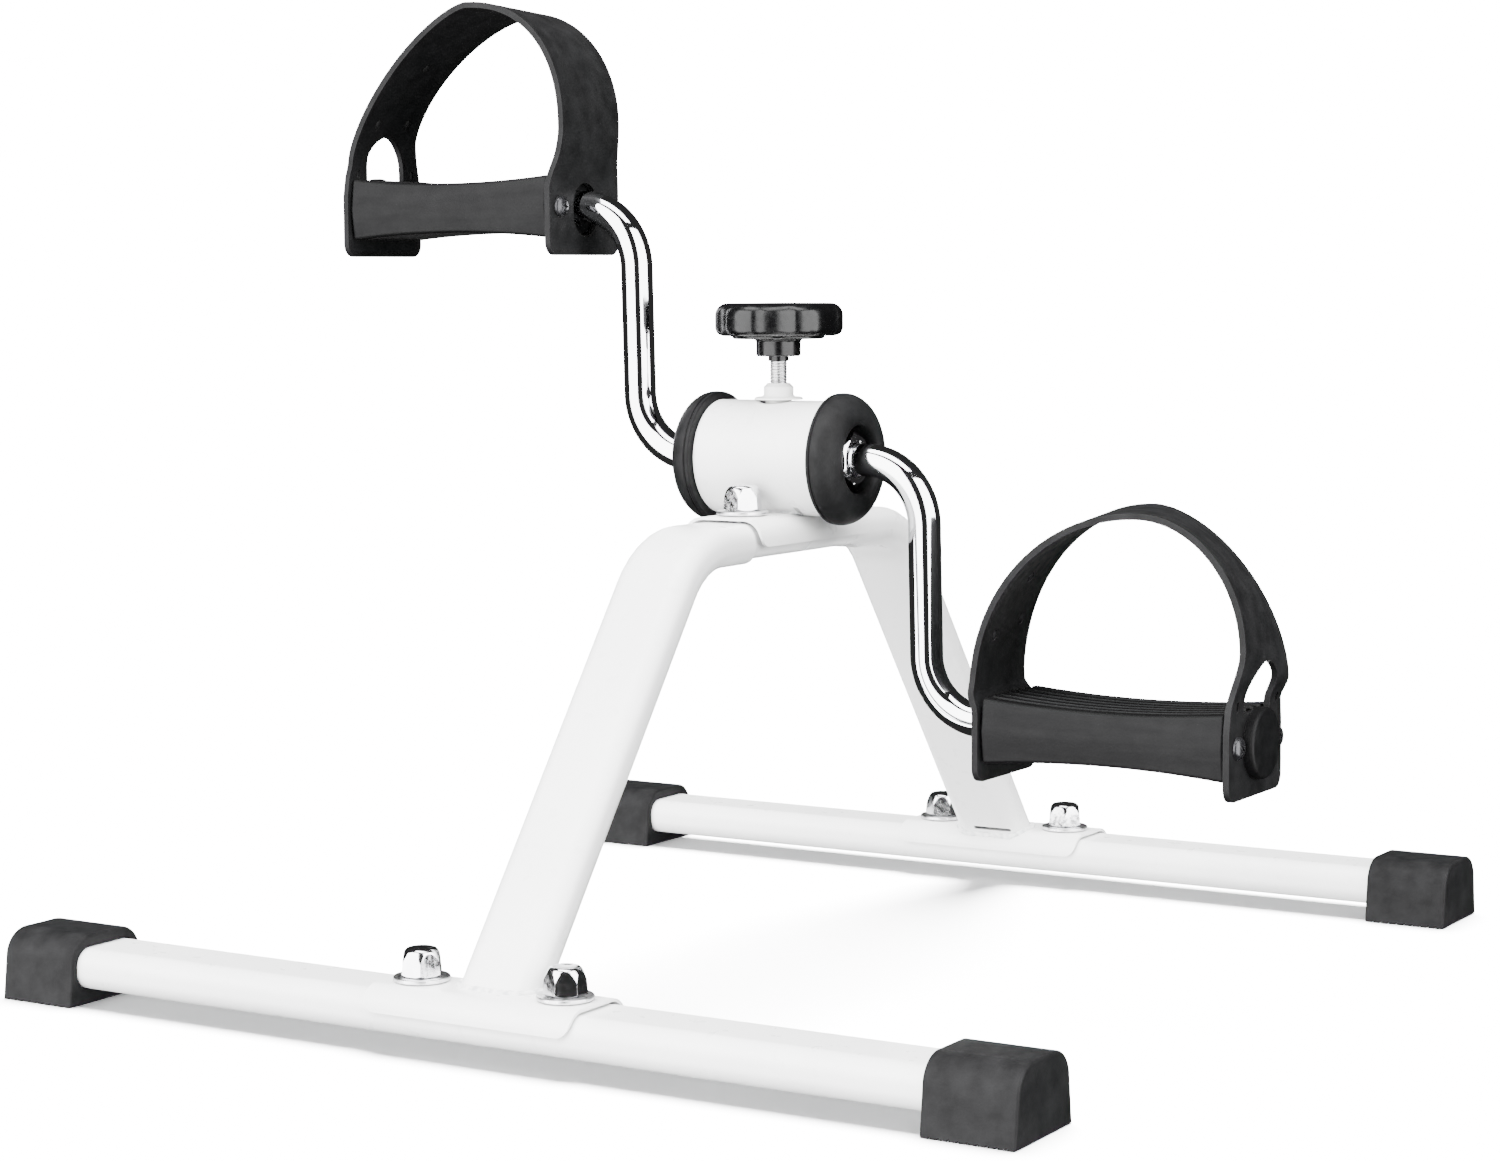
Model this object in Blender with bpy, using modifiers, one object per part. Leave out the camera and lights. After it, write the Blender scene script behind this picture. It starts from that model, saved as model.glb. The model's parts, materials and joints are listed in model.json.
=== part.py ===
"""Pedal exerciser: a floor-standing pair of pedals on a white A-frame.

Units are metres and +Z is up. The crank turns about X, and the origin is on the
ground under the middle of the hub. Left is -X, right is +X, front is -Y.
"""

import math

import bmesh
import bpy
from mathutils import Matrix, Vector

MM = 0.001
GAP = 0.3 * MM                      # clearance between neighbouring pieces

# Base: two flat-oval bars across the floor, a foot cap on each end.
BASE_LENGTH = 400 * MM              # over the foot caps
BASE_SPACING = 368 * MM             # between the bars' centre lines
TUBE_WIDTH = 30 * MM
TUBE_HEIGHT = 14.5 * MM
TUBE_CORNER = 6.3 * MM
TUBE_WALL = 1.3 * MM
BAR_Z = 12.7 * MM                   # centre of a bar above the ground
FOOT_LENGTH = 32 * MM
FOOT_WIDTH = 38 * MM
FOOT_HEIGHT = 24.4 * MM
FOOT_POCKET = 27 * MM               # how far a bar goes into its foot cap

# Legs and the pressed saddles that hold them.
SHEET = 1.6 * MM
SADDLE_LENGTH = 82 * MM
SADDLE_DROP = 8.3 * MM              # from the saddle's top down to the skirt's edge
SADDLE_CORNER = 5 * MM
BASE_BOLT_X = 28.8 * MM
LEG_TOP_Z = 157.6 * MM              # centre of the leg where it runs level
LEG_SHOULDER_Y = 74 * MM            # where the leg's level and sloping lines cross
LEG_BEND = 34 * MM
LEG_FOOT_Y = BASE_SPACING / 2
SWAGE_Y = 40 * MM                   # inside this the leg's end is pressed slimmer
SWAGE_SCALE = 0.90
BRACKET_LENGTH = 80 * MM
BRACKET_DROP = 10.2 * MM
BRACKET_BOLT_Y = 26 * MM

# Fasteners of the frame.
STUD_RADIUS = 4 * MM
STUD_HEAD_RADIUS = 6.5 * MM
STUD_HEAD = 2 * MM
WASHER_RADIUS = 9.5 * MM
WASHER_THICKNESS = 1.5 * MM
NUT_ACROSS_FLATS = 13 * MM
NUT_HEX_HEIGHT = 5.6 * MM
NUT_HEIGHT = 9 * MM
NUT_DOME_RADIUS = 5.7 * MM

# Hub.
HUB_Z = 186.5 * MM
HOUSING_RADIUS = 21.2 * MM
HOUSING_WALL = 2 * MM
HOUSING_HALF = 24.6 * MM
CAP_RADIUS = 24.2 * MM
CAP_FACE_X = 35.4 * MM
RECESS_RADIUS = 12.6 * MM
RECESS_FLOOR_X = 26.6 * MM
BUSH_INNER_X = 12 * MM
BUSH_OUTER_X = 18.6 * MM
SPINDLE_RADIUS = 8 * MM
SPINDLE_HALF = 26 * MM
SOCKET_X = 9 * MM                   # the arms' sockets start here
DRUM_RADIUS = 11 * MM
DRUM_HALF = 10 * MM
LOCK_NUT_FLATS = 18 * MM
LOCK_NUT_THICKNESS = 6 * MM

# Cranks and pedals.
ROD_RADIUS = 6 * MM
ARM_X = 60.6 * MM
ARM_BEND = 23 * MM
THROW = 93.5 * MM                   # from the hub's axis to a pedal's axis
CRANK_ANGLE = math.radians(2.0)     # lean of the arms in the rest pose
PLATE_IN = 91 * MM                  # outer faces of the strap's two end plates
PLATE_OUT = 188.5 * MM
PLATE_BOTTOM = -18.3 * MM
PLATE_HALF_WIDTH = 24 * MM
STRAP_HALF_WIDTH = 21 * MM
STRAP_THICKNESS = 2.2 * MM
PEDAL_HALF_DEPTH = 23 * MM
PEDAL_HALF_HEIGHT = 11.7 * MM
PEDAL_WAIST = 9.4 * MM
PEDAL_SCREW_Y = 17 * MM
PEDAL_SCREW_LENGTH = 9 * MM
PEDAL_CAP_RADIUS = 12.5 * MM
CLIP_RADIUS = 9 * MM
CLIP_THICKNESS = 0.9 * MM
ROD_END = 190.4 * MM                # outer end of the right rod
LEFT_PEDAL_INSET = 7.8 * MM         # the left pedal and its rod's end sit this much nearer the hub
PEDAL_CAP_FACE = 192.8 * MM
PEDAL_CREASE = 1.2 * MM             # the block's sides are this much deeper at mid height
GROOVES = 5                         # along the tread, above and below
GROOVE_PITCH = 6.6 * MM
GROOVE_WIDTH = 2.6 * MM
GROOVE_DEPTH = 0.9 * MM

# Openings in a strap's plates.
WINDOW_HALF_WIDTH = 11.5 * MM
WINDOW_LOW = 11 * MM
WINDOW_HIGH = 28.5 * MM
ROD_SLOT_WIDTH = 16 * MM
ROD_SLOT_HEIGHT = 20 * MM
ROD_SLOT_Z = -1 * MM
SIDE_SLOT_WIDTH = 1.8 * MM
SIDE_SLOT_HEIGHT = 3.6 * MM
SIDE_SLOT_Z = 14 * MM
SCREW_HOLE_RADIUS = 2.5 * MM

# Tension knob, its screw and the brake.
THREAD_RADIUS = 3 * MM
KNOB_RADIUS = 24.3 * MM
KNOB_LOBES = 5
KNOB_LOBE_DEPTH = 2.0 * MM
KNOB_VALLEY_ANGLE = math.radians(-63)
KNOB_BOTTOM = 231.4 * MM
KNOB_TOP = 243.4 * MM
COLLAR_RADIUS = 8.2 * MM
COLLAR_BOTTOM = 224 * MM
NECK_BOTTOM = 222.2 * MM
SCREW_TOP = 237 * MM
SCREW_BUSH_TOP = 214 * MM
BRAKE_CLEARANCE = 0.8 * MM
LINING_THICKNESS = 1.8 * MM
SHOE_HALF_WIDTH = 6.5 * MM
SHOE_HALF_LENGTH = 9 * MM
SHOE_TOP = HUB_Z + 15.8 * MM

WHITE = ("white_paint", (0.90, 0.90, 0.89), 0.28, 0.0)
BLACK_RUBBER = ("black_rubber", (0.030, 0.030, 0.032), 0.62, 0.0)
BLACK_PLASTIC = ("black_plastic", (0.035, 0.035, 0.037), 0.45, 0.0)
STRAP_PLASTIC = ("strap_plastic", (0.032, 0.032, 0.034), 0.50, 0.0)
KNOB_PLASTIC = ("knob_plastic", (0.012, 0.012, 0.013), 0.22, 0.0)
WHITE_PLASTIC = ("white_plastic", (0.86, 0.86, 0.84), 0.35, 0.0)
CHROME = ("chrome", (0.88, 0.88, 0.89), 0.06, 1.0)
STEEL = ("steel", (0.62, 0.63, 0.64), 0.30, 1.0)
BLACK_STEEL = ("black_steel", (0.05, 0.05, 0.055), 0.30, 0.9)
FELT = ("felt", (0.33, 0.31, 0.28), 0.95, 0.0)

TURN_TO_X = Matrix.Rotation(math.pi / 2, 4, "Y")
HALF_TURN = Matrix.Rotation(math.pi, 4, "Z")
# Stands a prism up: its outline's (x, y) become (Y, Z) and its height runs along X.
OUTLINE_TO_YZ = Matrix(((0, 0, 1, 0), (1, 0, 0, 0), (0, 1, 0, 0), (0, 0, 0, 1)))


# ---------------------------------------------------------------- tools

def clear_scene():
    for obj in list(bpy.data.objects):
        bpy.data.objects.remove(obj, do_unlink=True)


def new_collection(name):
    collection = bpy.data.collections.new(name)
    bpy.context.scene.collection.children.link(collection)
    return collection


def principled(look, piece):
    """A material of its own for one piece, from a (name, colour, roughness, metallic) look."""
    name, colour, roughness, metallic = look
    material = bpy.data.materials.new(f"{piece}_{name}")
    material.use_nodes = True
    shader = material.node_tree.nodes["Principled BSDF"]
    shader.inputs["Base Color"].default_value = (*colour, 1.0)
    shader.inputs["Roughness"].default_value = roughness
    shader.inputs["Metallic"].default_value = metallic
    return material


def baked(obj):
    """The evaluated shape of an object as a plain welded mesh; the object itself is removed."""
    bpy.context.view_layer.update()
    depsgraph = bpy.context.evaluated_depsgraph_get()
    mesh = bpy.data.meshes.new_from_object(obj.evaluated_get(depsgraph))
    work = bmesh.new()
    work.from_mesh(mesh)
    bmesh.ops.remove_doubles(work, verts=work.verts, dist=1e-6)
    work.to_mesh(mesh)
    work.free()
    bpy.data.objects.remove(obj, do_unlink=True)
    return mesh


def scratch(data):
    """A hidden helper object for a mesh or a curve."""
    obj = bpy.data.objects.new("scratch", data)
    CUTTERS.objects.link(obj)
    obj.hide_render = True
    obj.display_type = "WIRE"
    return obj


def piece(name, mesh, look, place=None, parent=None, smooth_angle=math.radians(35)):
    """One named sub-part, shown from a mesh, with its own material."""
    obj = bpy.data.objects.new(name, mesh)
    PARTS.objects.link(obj)
    if not mesh.materials:
        mesh.materials.append(None)
    obj.material_slots[0].link = "OBJECT"
    obj.material_slots[0].material = principled(look, name)
    mesh.shade_smooth()
    mesh.set_sharp_from_angle(angle=smooth_angle)
    obj.parent = parent
    obj.matrix_local = place if place is not None else Matrix.Identity(4)
    return obj


def empty(name, place, parent=None):
    obj = bpy.data.objects.new(name, None)
    PARTS.objects.link(obj)
    obj.parent = parent
    obj.matrix_local = place
    return obj


def turned(profile, steps=32, ring=False):
    """Mesh turned about Z from (radius, height) points that run down the outer side."""
    mesh = bpy.data.meshes.new("turned")
    count = len(profile)
    edges = [(i, (i + 1) % count) for i in range(count if ring else count - 1)]
    mesh.from_pydata([(radius, 0.0, height) for radius, height in profile], edges, [])
    obj = scratch(mesh)
    screw = obj.modifiers.new("turn", "SCREW")
    screw.steps = steps
    screw.render_steps = steps
    screw.use_merge_vertices = True
    screw.merge_threshold = 1e-5
    return baked(obj)


def tube_ring(inner, outer, low, high, steps=32):
    profile = [(outer, high), (outer, low), (inner, low), (inner, high)]
    return turned(profile, steps, ring=True)


def rod(radius, low, high, steps=20):
    return turned([(0, high), (radius, high), (radius, low), (0, low)], steps)


def prism(outline, low, high, rounding=0.0):
    """Mesh of an outline in local XY, from height low to high, with rounded rims if asked."""
    curve = bpy.data.curves.new("outline", "CURVE")
    curve.dimensions = "2D"
    curve.fill_mode = "BOTH"
    curve.extrude = (high - low) / 2 - rounding
    curve.bevel_depth = rounding
    curve.bevel_resolution = 2
    curve.offset = -rounding
    spline = curve.splines.new("POLY")
    spline.points.add(len(outline) - 1)
    for point, (x, y) in zip(spline.points, outline):
        point.co = (x, y, 0, 1)
    spline.use_cyclic_u = True
    mesh = baked(scratch(curve))
    mesh.transform(Matrix.Translation((0, 0, (high + low) / 2)))
    return mesh


def moved(mesh, *steps):
    """The same mesh after each matrix in turn."""
    for step in steps:
        mesh.transform(step)
    return mesh


def combined(base, others, operation):
    """Base mesh after a Boolean with each of the other meshes."""
    obj = scratch(base)
    helpers = []
    for other in others:
        helper = scratch(other)
        helpers.append(helper)
        boolean = obj.modifiers.new("boolean", "BOOLEAN")
        boolean.solver = "EXACT"
        boolean.operation = operation
        boolean.object = helper
    mesh = baked(obj)
    for helper in helpers:
        bpy.data.objects.remove(helper, do_unlink=True)
    return mesh


def cut(base, *cutters):
    return combined(base, cutters, "DIFFERENCE")


def arc(centre, radius, start, end, steps):
    """Points of an arc in a plane; the angles are in degrees."""
    points = []
    for i in range(steps + 1):
        angle = math.radians(start + (end - start) * i / steps)
        points.append((centre[0] + radius * math.cos(angle), centre[1] + radius * math.sin(angle)))
    return points


def rounded_rectangle(width, height, corner, steps=3):
    x, y = width / 2 - corner, height / 2 - corner
    points = []
    for quarter, centre in enumerate(((x, y), (-x, y), (-x, -y), (x, -y))):
        points += arc(centre, corner, quarter * 90, quarter * 90 + 90, steps)
    return points


def filleted(corners, radius, steps=7):
    """A path through the corners, with an arc of the given radius at each inner corner."""
    path = [Vector(corners[0])]
    for before, corner, after in zip(corners, corners[1:], corners[2:]):
        corner = Vector(corner)
        to_before = (Vector(before) - corner).normalized()
        to_after = (Vector(after) - corner).normalized()
        half = to_before.angle(to_after) / 2
        centre = corner + (to_before + to_after).normalized() * (radius / math.sin(half))
        spoke = corner + to_before * (radius / math.tan(half)) - centre
        axle = to_after.cross(to_before)
        for i in range(steps + 1):
            turn = Matrix.Rotation((math.pi - 2 * half) * i / steps, 3, axle)
            path.append(centre + turn @ spoke)
    path.append(Vector(corners[-1]))
    return path


def flat_oval(grow=0.0):
    """Section of the frame's tube, grown by an allowance all round."""
    return rounded_rectangle(TUBE_WIDTH + 2 * grow, TUBE_HEIGHT + 2 * grow, TUBE_CORNER + grow)


def swept_tube(path, section, scales=None, wall=0.0):
    """Tube of a flat section along a path in the YZ plane; the section's X stays along X."""
    scales = scales or [1.0] * len(path)
    rings = []
    for i, (centre, scale) in enumerate(zip(path, scales)):
        ahead = path[min(i + 1, len(path) - 1)] - centre
        behind = centre - path[max(i - 1, 0)]
        along = (ahead.normalized() + behind.normalized()).normalized()
        across = along.cross(Vector((1, 0, 0)))
        rings.append([centre + Vector((x * scale, 0, 0)) + across * (y * scale) for x, y in section])
    return lofted(rings, wall)


def lofted(rings, wall=0.0):
    """Skin through rings of equal counts: capped when solid, or a pipe with a wall."""
    work = bmesh.new()
    rows = [[work.verts.new(point) for point in ring] for ring in rings]
    for row, following in zip(rows, rows[1:]):
        for i in range(len(row)):
            j = (i + 1) % len(row)
            work.faces.new((row[i], row[j], following[j], following[i]))
    if not wall:
        work.faces.new(rows[0])
        work.faces.new(rows[-1])
    bmesh.ops.recalc_face_normals(work, faces=work.faces)
    mesh = bpy.data.meshes.new("loft")
    work.to_mesh(mesh)
    work.free()
    if not wall:
        return mesh
    obj = scratch(mesh)
    solidify = obj.modifiers.new("wall", "SOLIDIFY")
    solidify.thickness = wall
    solidify.offset = -1
    solidify.use_even_offset = True
    return baked(obj)


def round_rod(path, radius, sides=16):
    """Round bar along a path of points."""
    curve = bpy.data.curves.new("rod", "CURVE")
    curve.dimensions = "3D"
    curve.bevel_depth = radius
    curve.bevel_resolution = (sides - 4) // 2
    curve.use_fill_caps = True
    spline = curve.splines.new("POLY")
    spline.points.add(len(path) - 1)
    for point, place in zip(spline.points, path):
        point.co = (*place, 1)
    return baked(scratch(curve))


def hexagon(across_flats):
    radius = across_flats / math.sqrt(3)
    return arc((0, 0), radius, 0, 300, 5)


# ---------------------------------------------------------------- base

def base_bar_mesh():
    half = BASE_LENGTH / 2 - FOOT_LENGTH + FOOT_POCKET
    section = [(0, y, z) for y, z in flat_oval()]
    rings = [[Vector((x, y, z)) for _, y, z in section] for x in (-half, half)]
    bar = lofted(rings, TUBE_WALL)
    holes = []
    for side in (-1, 1):
        hole = rod(STUD_RADIUS + GAP, TUBE_HEIGHT / 4, TUBE_HEIGHT)
        holes.append(moved(hole, Matrix.Translation((side * BASE_BOLT_X, 0, 0))))
    return cut(bar, *holes)


def foot_cap_mesh():
    """Foot cap along +X from its open face, standing on the ground."""
    half, top = FOOT_WIDTH / 2, FOOT_HEIGHT
    corner = 8.5 * MM
    shoulder = half - 1.6 * MM
    outline = [(half, 0), (shoulder, top - corner)]
    outline += arc((shoulder - corner, top - corner), corner, 15, 90, 6)
    outline += [(-x, y) for x, y in reversed(outline)]
    block = prism(outline, 0, FOOT_LENGTH, rounding=0.8 * MM)
    block = moved(block, OUTLINE_TO_YZ)
    rings = [[Vector((x, y, BAR_Z + z)) for y, z in flat_oval(GAP)] for x in (-MM, FOOT_POCKET + GAP)]
    return cut(block, lofted(rings))


def u_sheet(length, drop):
    """Pressed sheet over the top of a tube that runs along X, with rounded lower corners."""
    grow = GAP + SHEET
    section = flat_oval(grow)
    top = TUBE_HEIGHT / 2 + grow
    rings = [[Vector((x, y, z)) for y, z in section] for x in (-length / 2, length / 2)]
    sheet = lofted(rings, SHEET)
    edge = top - drop
    x, corner = length / 2, SADDLE_CORNER
    side = [(x + MM, top + MM), (-x - MM, top + MM)]
    side += [(-x - MM, edge + corner), (-x, edge + corner)]
    side += arc((corner - x, edge + corner), corner, 180, 270, 4)
    side += arc((x - corner, edge + corner), corner, 270, 360, 4)
    side += [(x + MM, edge + corner)]
    keep = prism(side, -TUBE_WIDTH, TUBE_WIDTH)
    keep = moved(keep, Matrix.Rotation(math.pi / 2, 4, "X"))
    return combined(sheet, [keep], "INTERSECT")


def bolt_hole(x, y):
    hole = rod(STUD_RADIUS + GAP, 0, TUBE_HEIGHT)
    return moved(hole, Matrix.Translation((x, y, 0)))


def base_saddle_mesh():
    sheet = u_sheet(SADDLE_LENGTH, SADDLE_DROP)
    return cut(sheet, *[bolt_hole(side * BASE_BOLT_X, 0) for side in (-1, 1)])


def leg_mesh():
    """Front leg in place: level under the hub, then bent down to its saddle."""
    crest = Vector((0, -LEG_SHOULDER_Y, LEG_TOP_Z))
    foot = Vector((0, -LEG_FOOT_Y, BAR_Z))
    swage_z = LEG_TOP_Z + TUBE_HEIGHT / 2 * (1 - SWAGE_SCALE)
    swage = [Vector((0, -GAP, swage_z)), Vector((0, -SWAGE_Y, swage_z))]
    shoulder = Vector((0, -SWAGE_Y - 2 * MM, LEG_TOP_Z))
    path = swage + filleted([shoulder, crest, foot], LEG_BEND, steps=8)
    scales = [SWAGE_SCALE, SWAGE_SCALE] + [1.0] * (len(path) - 2)
    leg = swept_tube(path, flat_oval(), scales, TUBE_WALL)
    clearance = flat_oval(GAP + SHEET + GAP)
    reach = TUBE_WIDTH
    rings = [[foot + Vector((x, y, z)) for y, z in clearance] for x in (-reach, reach)]
    hole = rod(STUD_RADIUS + GAP, 0, TUBE_HEIGHT)
    hole = moved(hole, Matrix.Translation((0, -BRACKET_BOLT_Y, LEG_TOP_Z)))
    return cut(leg, lofted(rings), hole)


def hub_bracket_mesh():
    sheet = u_sheet(BRACKET_LENGTH, BRACKET_DROP)
    sheet = moved(sheet, Matrix.Rotation(math.pi / 2, 4, "Z"))
    cradle = rod(HOUSING_RADIUS + GAP, -TUBE_WIDTH, TUBE_WIDTH, steps=48)
    cradle = moved(cradle, TURN_TO_X, Matrix.Translation((0, 0, HUB_Z - LEG_TOP_Z)))
    holes = [bolt_hole(0, side * BRACKET_BOLT_Y) for side in (-1, 1)]
    return cut(sheet, cradle, *holes)


def stud_mesh():
    """Stud whose head lies under a tube's top wall; its origin is the centre of that tube."""
    head_top = TUBE_HEIGHT / 2 - TUBE_WALL - GAP
    end = TUBE_HEIGHT / 2 + GAP + SHEET + GAP + WASHER_THICKNESS + GAP + NUT_HEX_HEIGHT
    profile = [(0, end), (STUD_RADIUS - GAP, end), (STUD_RADIUS, end - GAP)]
    profile += [(STUD_RADIUS, head_top), (STUD_HEAD_RADIUS, head_top)]
    profile += [(STUD_HEAD_RADIUS, head_top - STUD_HEAD), (0, head_top - STUD_HEAD)]
    return turned(profile, steps=16)


def washer_mesh():
    """Plain washer; its origin is the centre of the tube below it."""
    low = TUBE_HEIGHT / 2 + GAP + SHEET + GAP
    return tube_ring(STUD_RADIUS + GAP, WASHER_RADIUS, low, low + WASHER_THICKNESS, steps=28)


def cap_nut_mesh():
    """Low cap nut with a blind bore; its origin is the centre of the tube below it."""
    low = TUBE_HEIGHT / 2 + GAP + SHEET + GAP + WASHER_THICKNESS + GAP
    top = low + NUT_HEIGHT
    shoulder = low + NUT_HEX_HEIGHT
    corner = NUT_ACROSS_FLATS / math.sqrt(3)
    bore = STUD_RADIUS + GAP
    profile = [(0, top), (NUT_DOME_RADIUS * 0.45, top - 0.3 * MM), (NUT_DOME_RADIUS * 0.8, top - 1.2 * MM)]
    profile += [(NUT_DOME_RADIUS, shoulder + 0.8 * MM), (NUT_DOME_RADIUS + 0.3 * MM, shoulder)]
    profile += [(corner, shoulder - 1.2 * MM), (corner, low + 0.5 * MM), (corner - 0.8 * MM, low)]
    profile += [(bore, low), (bore, shoulder + GAP), (0, shoulder + 2 * MM)]
    body = turned(profile, steps=18)
    blank = prism(hexagon(NUT_ACROSS_FLATS), low - MM, top + MM)
    return combined(body, [blank], "INTERSECT")


def build_base():
    bar, foot, saddle = base_bar_mesh(), foot_cap_mesh(), base_saddle_mesh()
    stud, washer, nut = stud_mesh(), washer_mesh(), cap_nut_mesh()
    inner_end = BASE_LENGTH / 2 - FOOT_LENGTH
    for end, direction in (("front", -1), ("rear", 1)):
        line = Matrix.Translation((0, direction * BASE_SPACING / 2, 0))
        centre = line @ Matrix.Translation((0, 0, BAR_Z))
        piece(f"{end}_base_bar", bar, WHITE, centre)
        piece(f"{end}_saddle", saddle, WHITE, centre)
        for side, way in (("left", -1), ("right", 1)):
            turn = HALF_TURN if way < 0 else Matrix.Identity(4)
            spot = line @ turn @ Matrix.Translation((inner_end, 0, 0))
            piece(f"{end}_{side}_foot_cap", foot, BLACK_RUBBER, spot)
            bolt = centre @ Matrix.Translation((way * BASE_BOLT_X, 0, 0))
            piece(f"{end}_{side}_base_stud", stud, STEEL, bolt)
            piece(f"{end}_{side}_base_washer", washer, CHROME, bolt)
            piece(f"{end}_{side}_base_nut", nut, CHROME, bolt)


def build_legs():
    leg = leg_mesh()
    piece("front_leg", leg, WHITE)
    piece("rear_leg", leg, WHITE, HALF_TURN)
    top = Matrix.Translation((0, 0, LEG_TOP_Z))
    piece("hub_bracket", hub_bracket_mesh(), WHITE, top)
    stud, washer, nut = stud_mesh(), washer_mesh(), cap_nut_mesh()
    for end, direction in (("front", -1), ("rear", 1)):
        bolt = top @ Matrix.Translation((0, direction * BRACKET_BOLT_Y, 0))
        piece(f"{end}_bracket_stud", stud, STEEL, bolt)
        piece(f"{end}_bracket_washer", washer, CHROME, bolt)
        piece(f"{end}_bracket_nut", nut, CHROME, bolt)


# ---------------------------------------------------------------- hub

def housing_mesh():
    inner = HOUSING_RADIUS - HOUSING_WALL
    tube = moved(tube_ring(inner, HOUSING_RADIUS, -HOUSING_HALF, HOUSING_HALF, steps=48), TURN_TO_X)
    return cut(tube, rod(COLLAR_RADIUS * 0.6 + GAP, HOUSING_RADIUS / 2, HOUSING_RADIUS + MM))


def hub_cap_mesh():
    """Rubber end cap for the +X end: a plug, a thick rounded ring and a recess."""
    plug = HOUSING_RADIUS - HOUSING_WALL - GAP
    rim_x = HOUSING_HALF + GAP
    bulge_x = rim_x + 1.9 * MM
    ring_radius = 12 * MM
    profile = [(RECESS_RADIUS, CAP_FACE_X - 1.6 * MM), (RECESS_RADIUS + 1.2 * MM, CAP_FACE_X)]
    for i in range(6):
        angle = math.radians(i * 18 + 10)
        radius = ring_radius + (CAP_RADIUS - ring_radius) * math.sin(angle)
        profile.append((radius, bulge_x + (CAP_FACE_X - bulge_x) * math.cos(angle)))
    profile += [(CAP_RADIUS, bulge_x - 0.6 * MM), (CAP_RADIUS - 0.8 * MM, rim_x)]
    profile += [(plug, rim_x), (plug, BUSH_OUTER_X + GAP), (plug - 2 * MM, BUSH_OUTER_X + GAP)]
    bore = SPINDLE_RADIUS + 1 * MM
    profile += [(plug - 2 * MM, rim_x - MM), (bore, rim_x - MM), (bore, RECESS_FLOOR_X)]
    profile += [(RECESS_RADIUS, RECESS_FLOOR_X)]
    return moved(turned(profile, steps=32, ring=True), TURN_TO_X)


def spindle_mesh():
    """Solid spindle with a drum in the middle and a socket for a crank arm in each end."""
    bore = ROD_RADIUS + GAP
    profile = [(0, SOCKET_X), (bore, SOCKET_X), (bore, SPINDLE_HALF), (SPINDLE_RADIUS, SPINDLE_HALF)]
    profile += [(SPINDLE_RADIUS, DRUM_HALF), (DRUM_RADIUS - MM, DRUM_HALF), (DRUM_RADIUS, DRUM_HALF - MM)]
    profile += [(radius, -height) for radius, height in reversed(profile)]
    return moved(turned(profile, steps=32), TURN_TO_X)


def lock_nut_mesh():
    low = SPINDLE_HALF + 1.4 * MM
    top = low + LOCK_NUT_THICKNESS
    corner = LOCK_NUT_FLATS / math.sqrt(3)
    bore = ROD_RADIUS + GAP
    chamfer = 1 * MM
    profile = [(bore, top), (corner - chamfer, top), (corner, top - chamfer), (corner, low), (bore, low)]
    body = turned(profile, steps=30, ring=True)
    blank = prism(hexagon(LOCK_NUT_FLATS), low - MM, top + MM)
    return moved(combined(body, [blank], "INTERSECT"), TURN_TO_X)


def screw_bush_mesh():
    """White bush of the tension screw: a flange on the housing and a spigot through its wall."""
    bore = THREAD_RADIUS + GAP
    seat = HUB_Z + HOUSING_RADIUS + GAP
    spigot = COLLAR_RADIUS * 0.6
    neck = 5.4 * MM
    profile = [(bore, SCREW_BUSH_TOP), (neck - 0.6 * MM, SCREW_BUSH_TOP), (neck, SCREW_BUSH_TOP - 0.6 * MM)]
    profile += [(neck, seat + 2.2 * MM), (neck + 0.8 * MM, seat + 1.2 * MM), (8.6 * MM, seat + 0.7 * MM)]
    profile += [(9 * MM, seat), (spigot, seat), (spigot, seat - 2.6 * MM), (bore, seat - 2.6 * MM)]
    return turned(profile, steps=32, ring=True)


def build_hub():
    centre = Matrix.Translation((0, 0, HUB_Z))
    piece("hub_housing", housing_mesh(), WHITE, centre)
    cap = hub_cap_mesh()
    bush = tube_ring(SPINDLE_RADIUS + GAP, HOUSING_RADIUS - HOUSING_WALL - GAP, BUSH_INNER_X, BUSH_OUTER_X)
    bush = moved(bush, TURN_TO_X)
    for side, turn in (("left", HALF_TURN), ("right", Matrix.Identity(4))):
        piece(f"{side}_hub_cap", cap, BLACK_RUBBER, centre @ turn)
        piece(f"{side}_bearing_bush", bush, WHITE_PLASTIC, centre @ turn)
    piece("screw_bush", screw_bush_mesh(), WHITE_PLASTIC)


# ---------------------------------------------------------------- brake and knob

def arch_block(outer, inner_radius, top=None):
    """Block over the drum: its underside is an arc, its top an arc or a flat."""
    half = math.degrees(math.asin(SHOE_HALF_WIDTH / inner_radius))
    outline = arc((0, 0), inner_radius, 90 + half, 90 - half, 8)
    if top is None:
        half = math.degrees(math.asin(SHOE_HALF_WIDTH / outer))
        outline += arc((0, 0), outer, 90 - half, 90 + half, 8)
    else:
        outline += [(SHOE_HALF_WIDTH, top), (-SHOE_HALF_WIDTH, top)]
    block = prism(outline, -SHOE_HALF_LENGTH, SHOE_HALF_LENGTH)
    return moved(block, OUTLINE_TO_YZ)


def knob_outline():
    points = []
    count = 12 * KNOB_LOBES
    for i in range(count):
        angle = 2 * math.pi * i / count
        wave = math.cos(KNOB_LOBES * (angle - KNOB_VALLEY_ANGLE) + math.pi)
        radius = KNOB_RADIUS - KNOB_LOBE_DEPTH * (1 - wave)
        points.append((radius * math.cos(angle), radius * math.sin(angle)))
    return points


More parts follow.
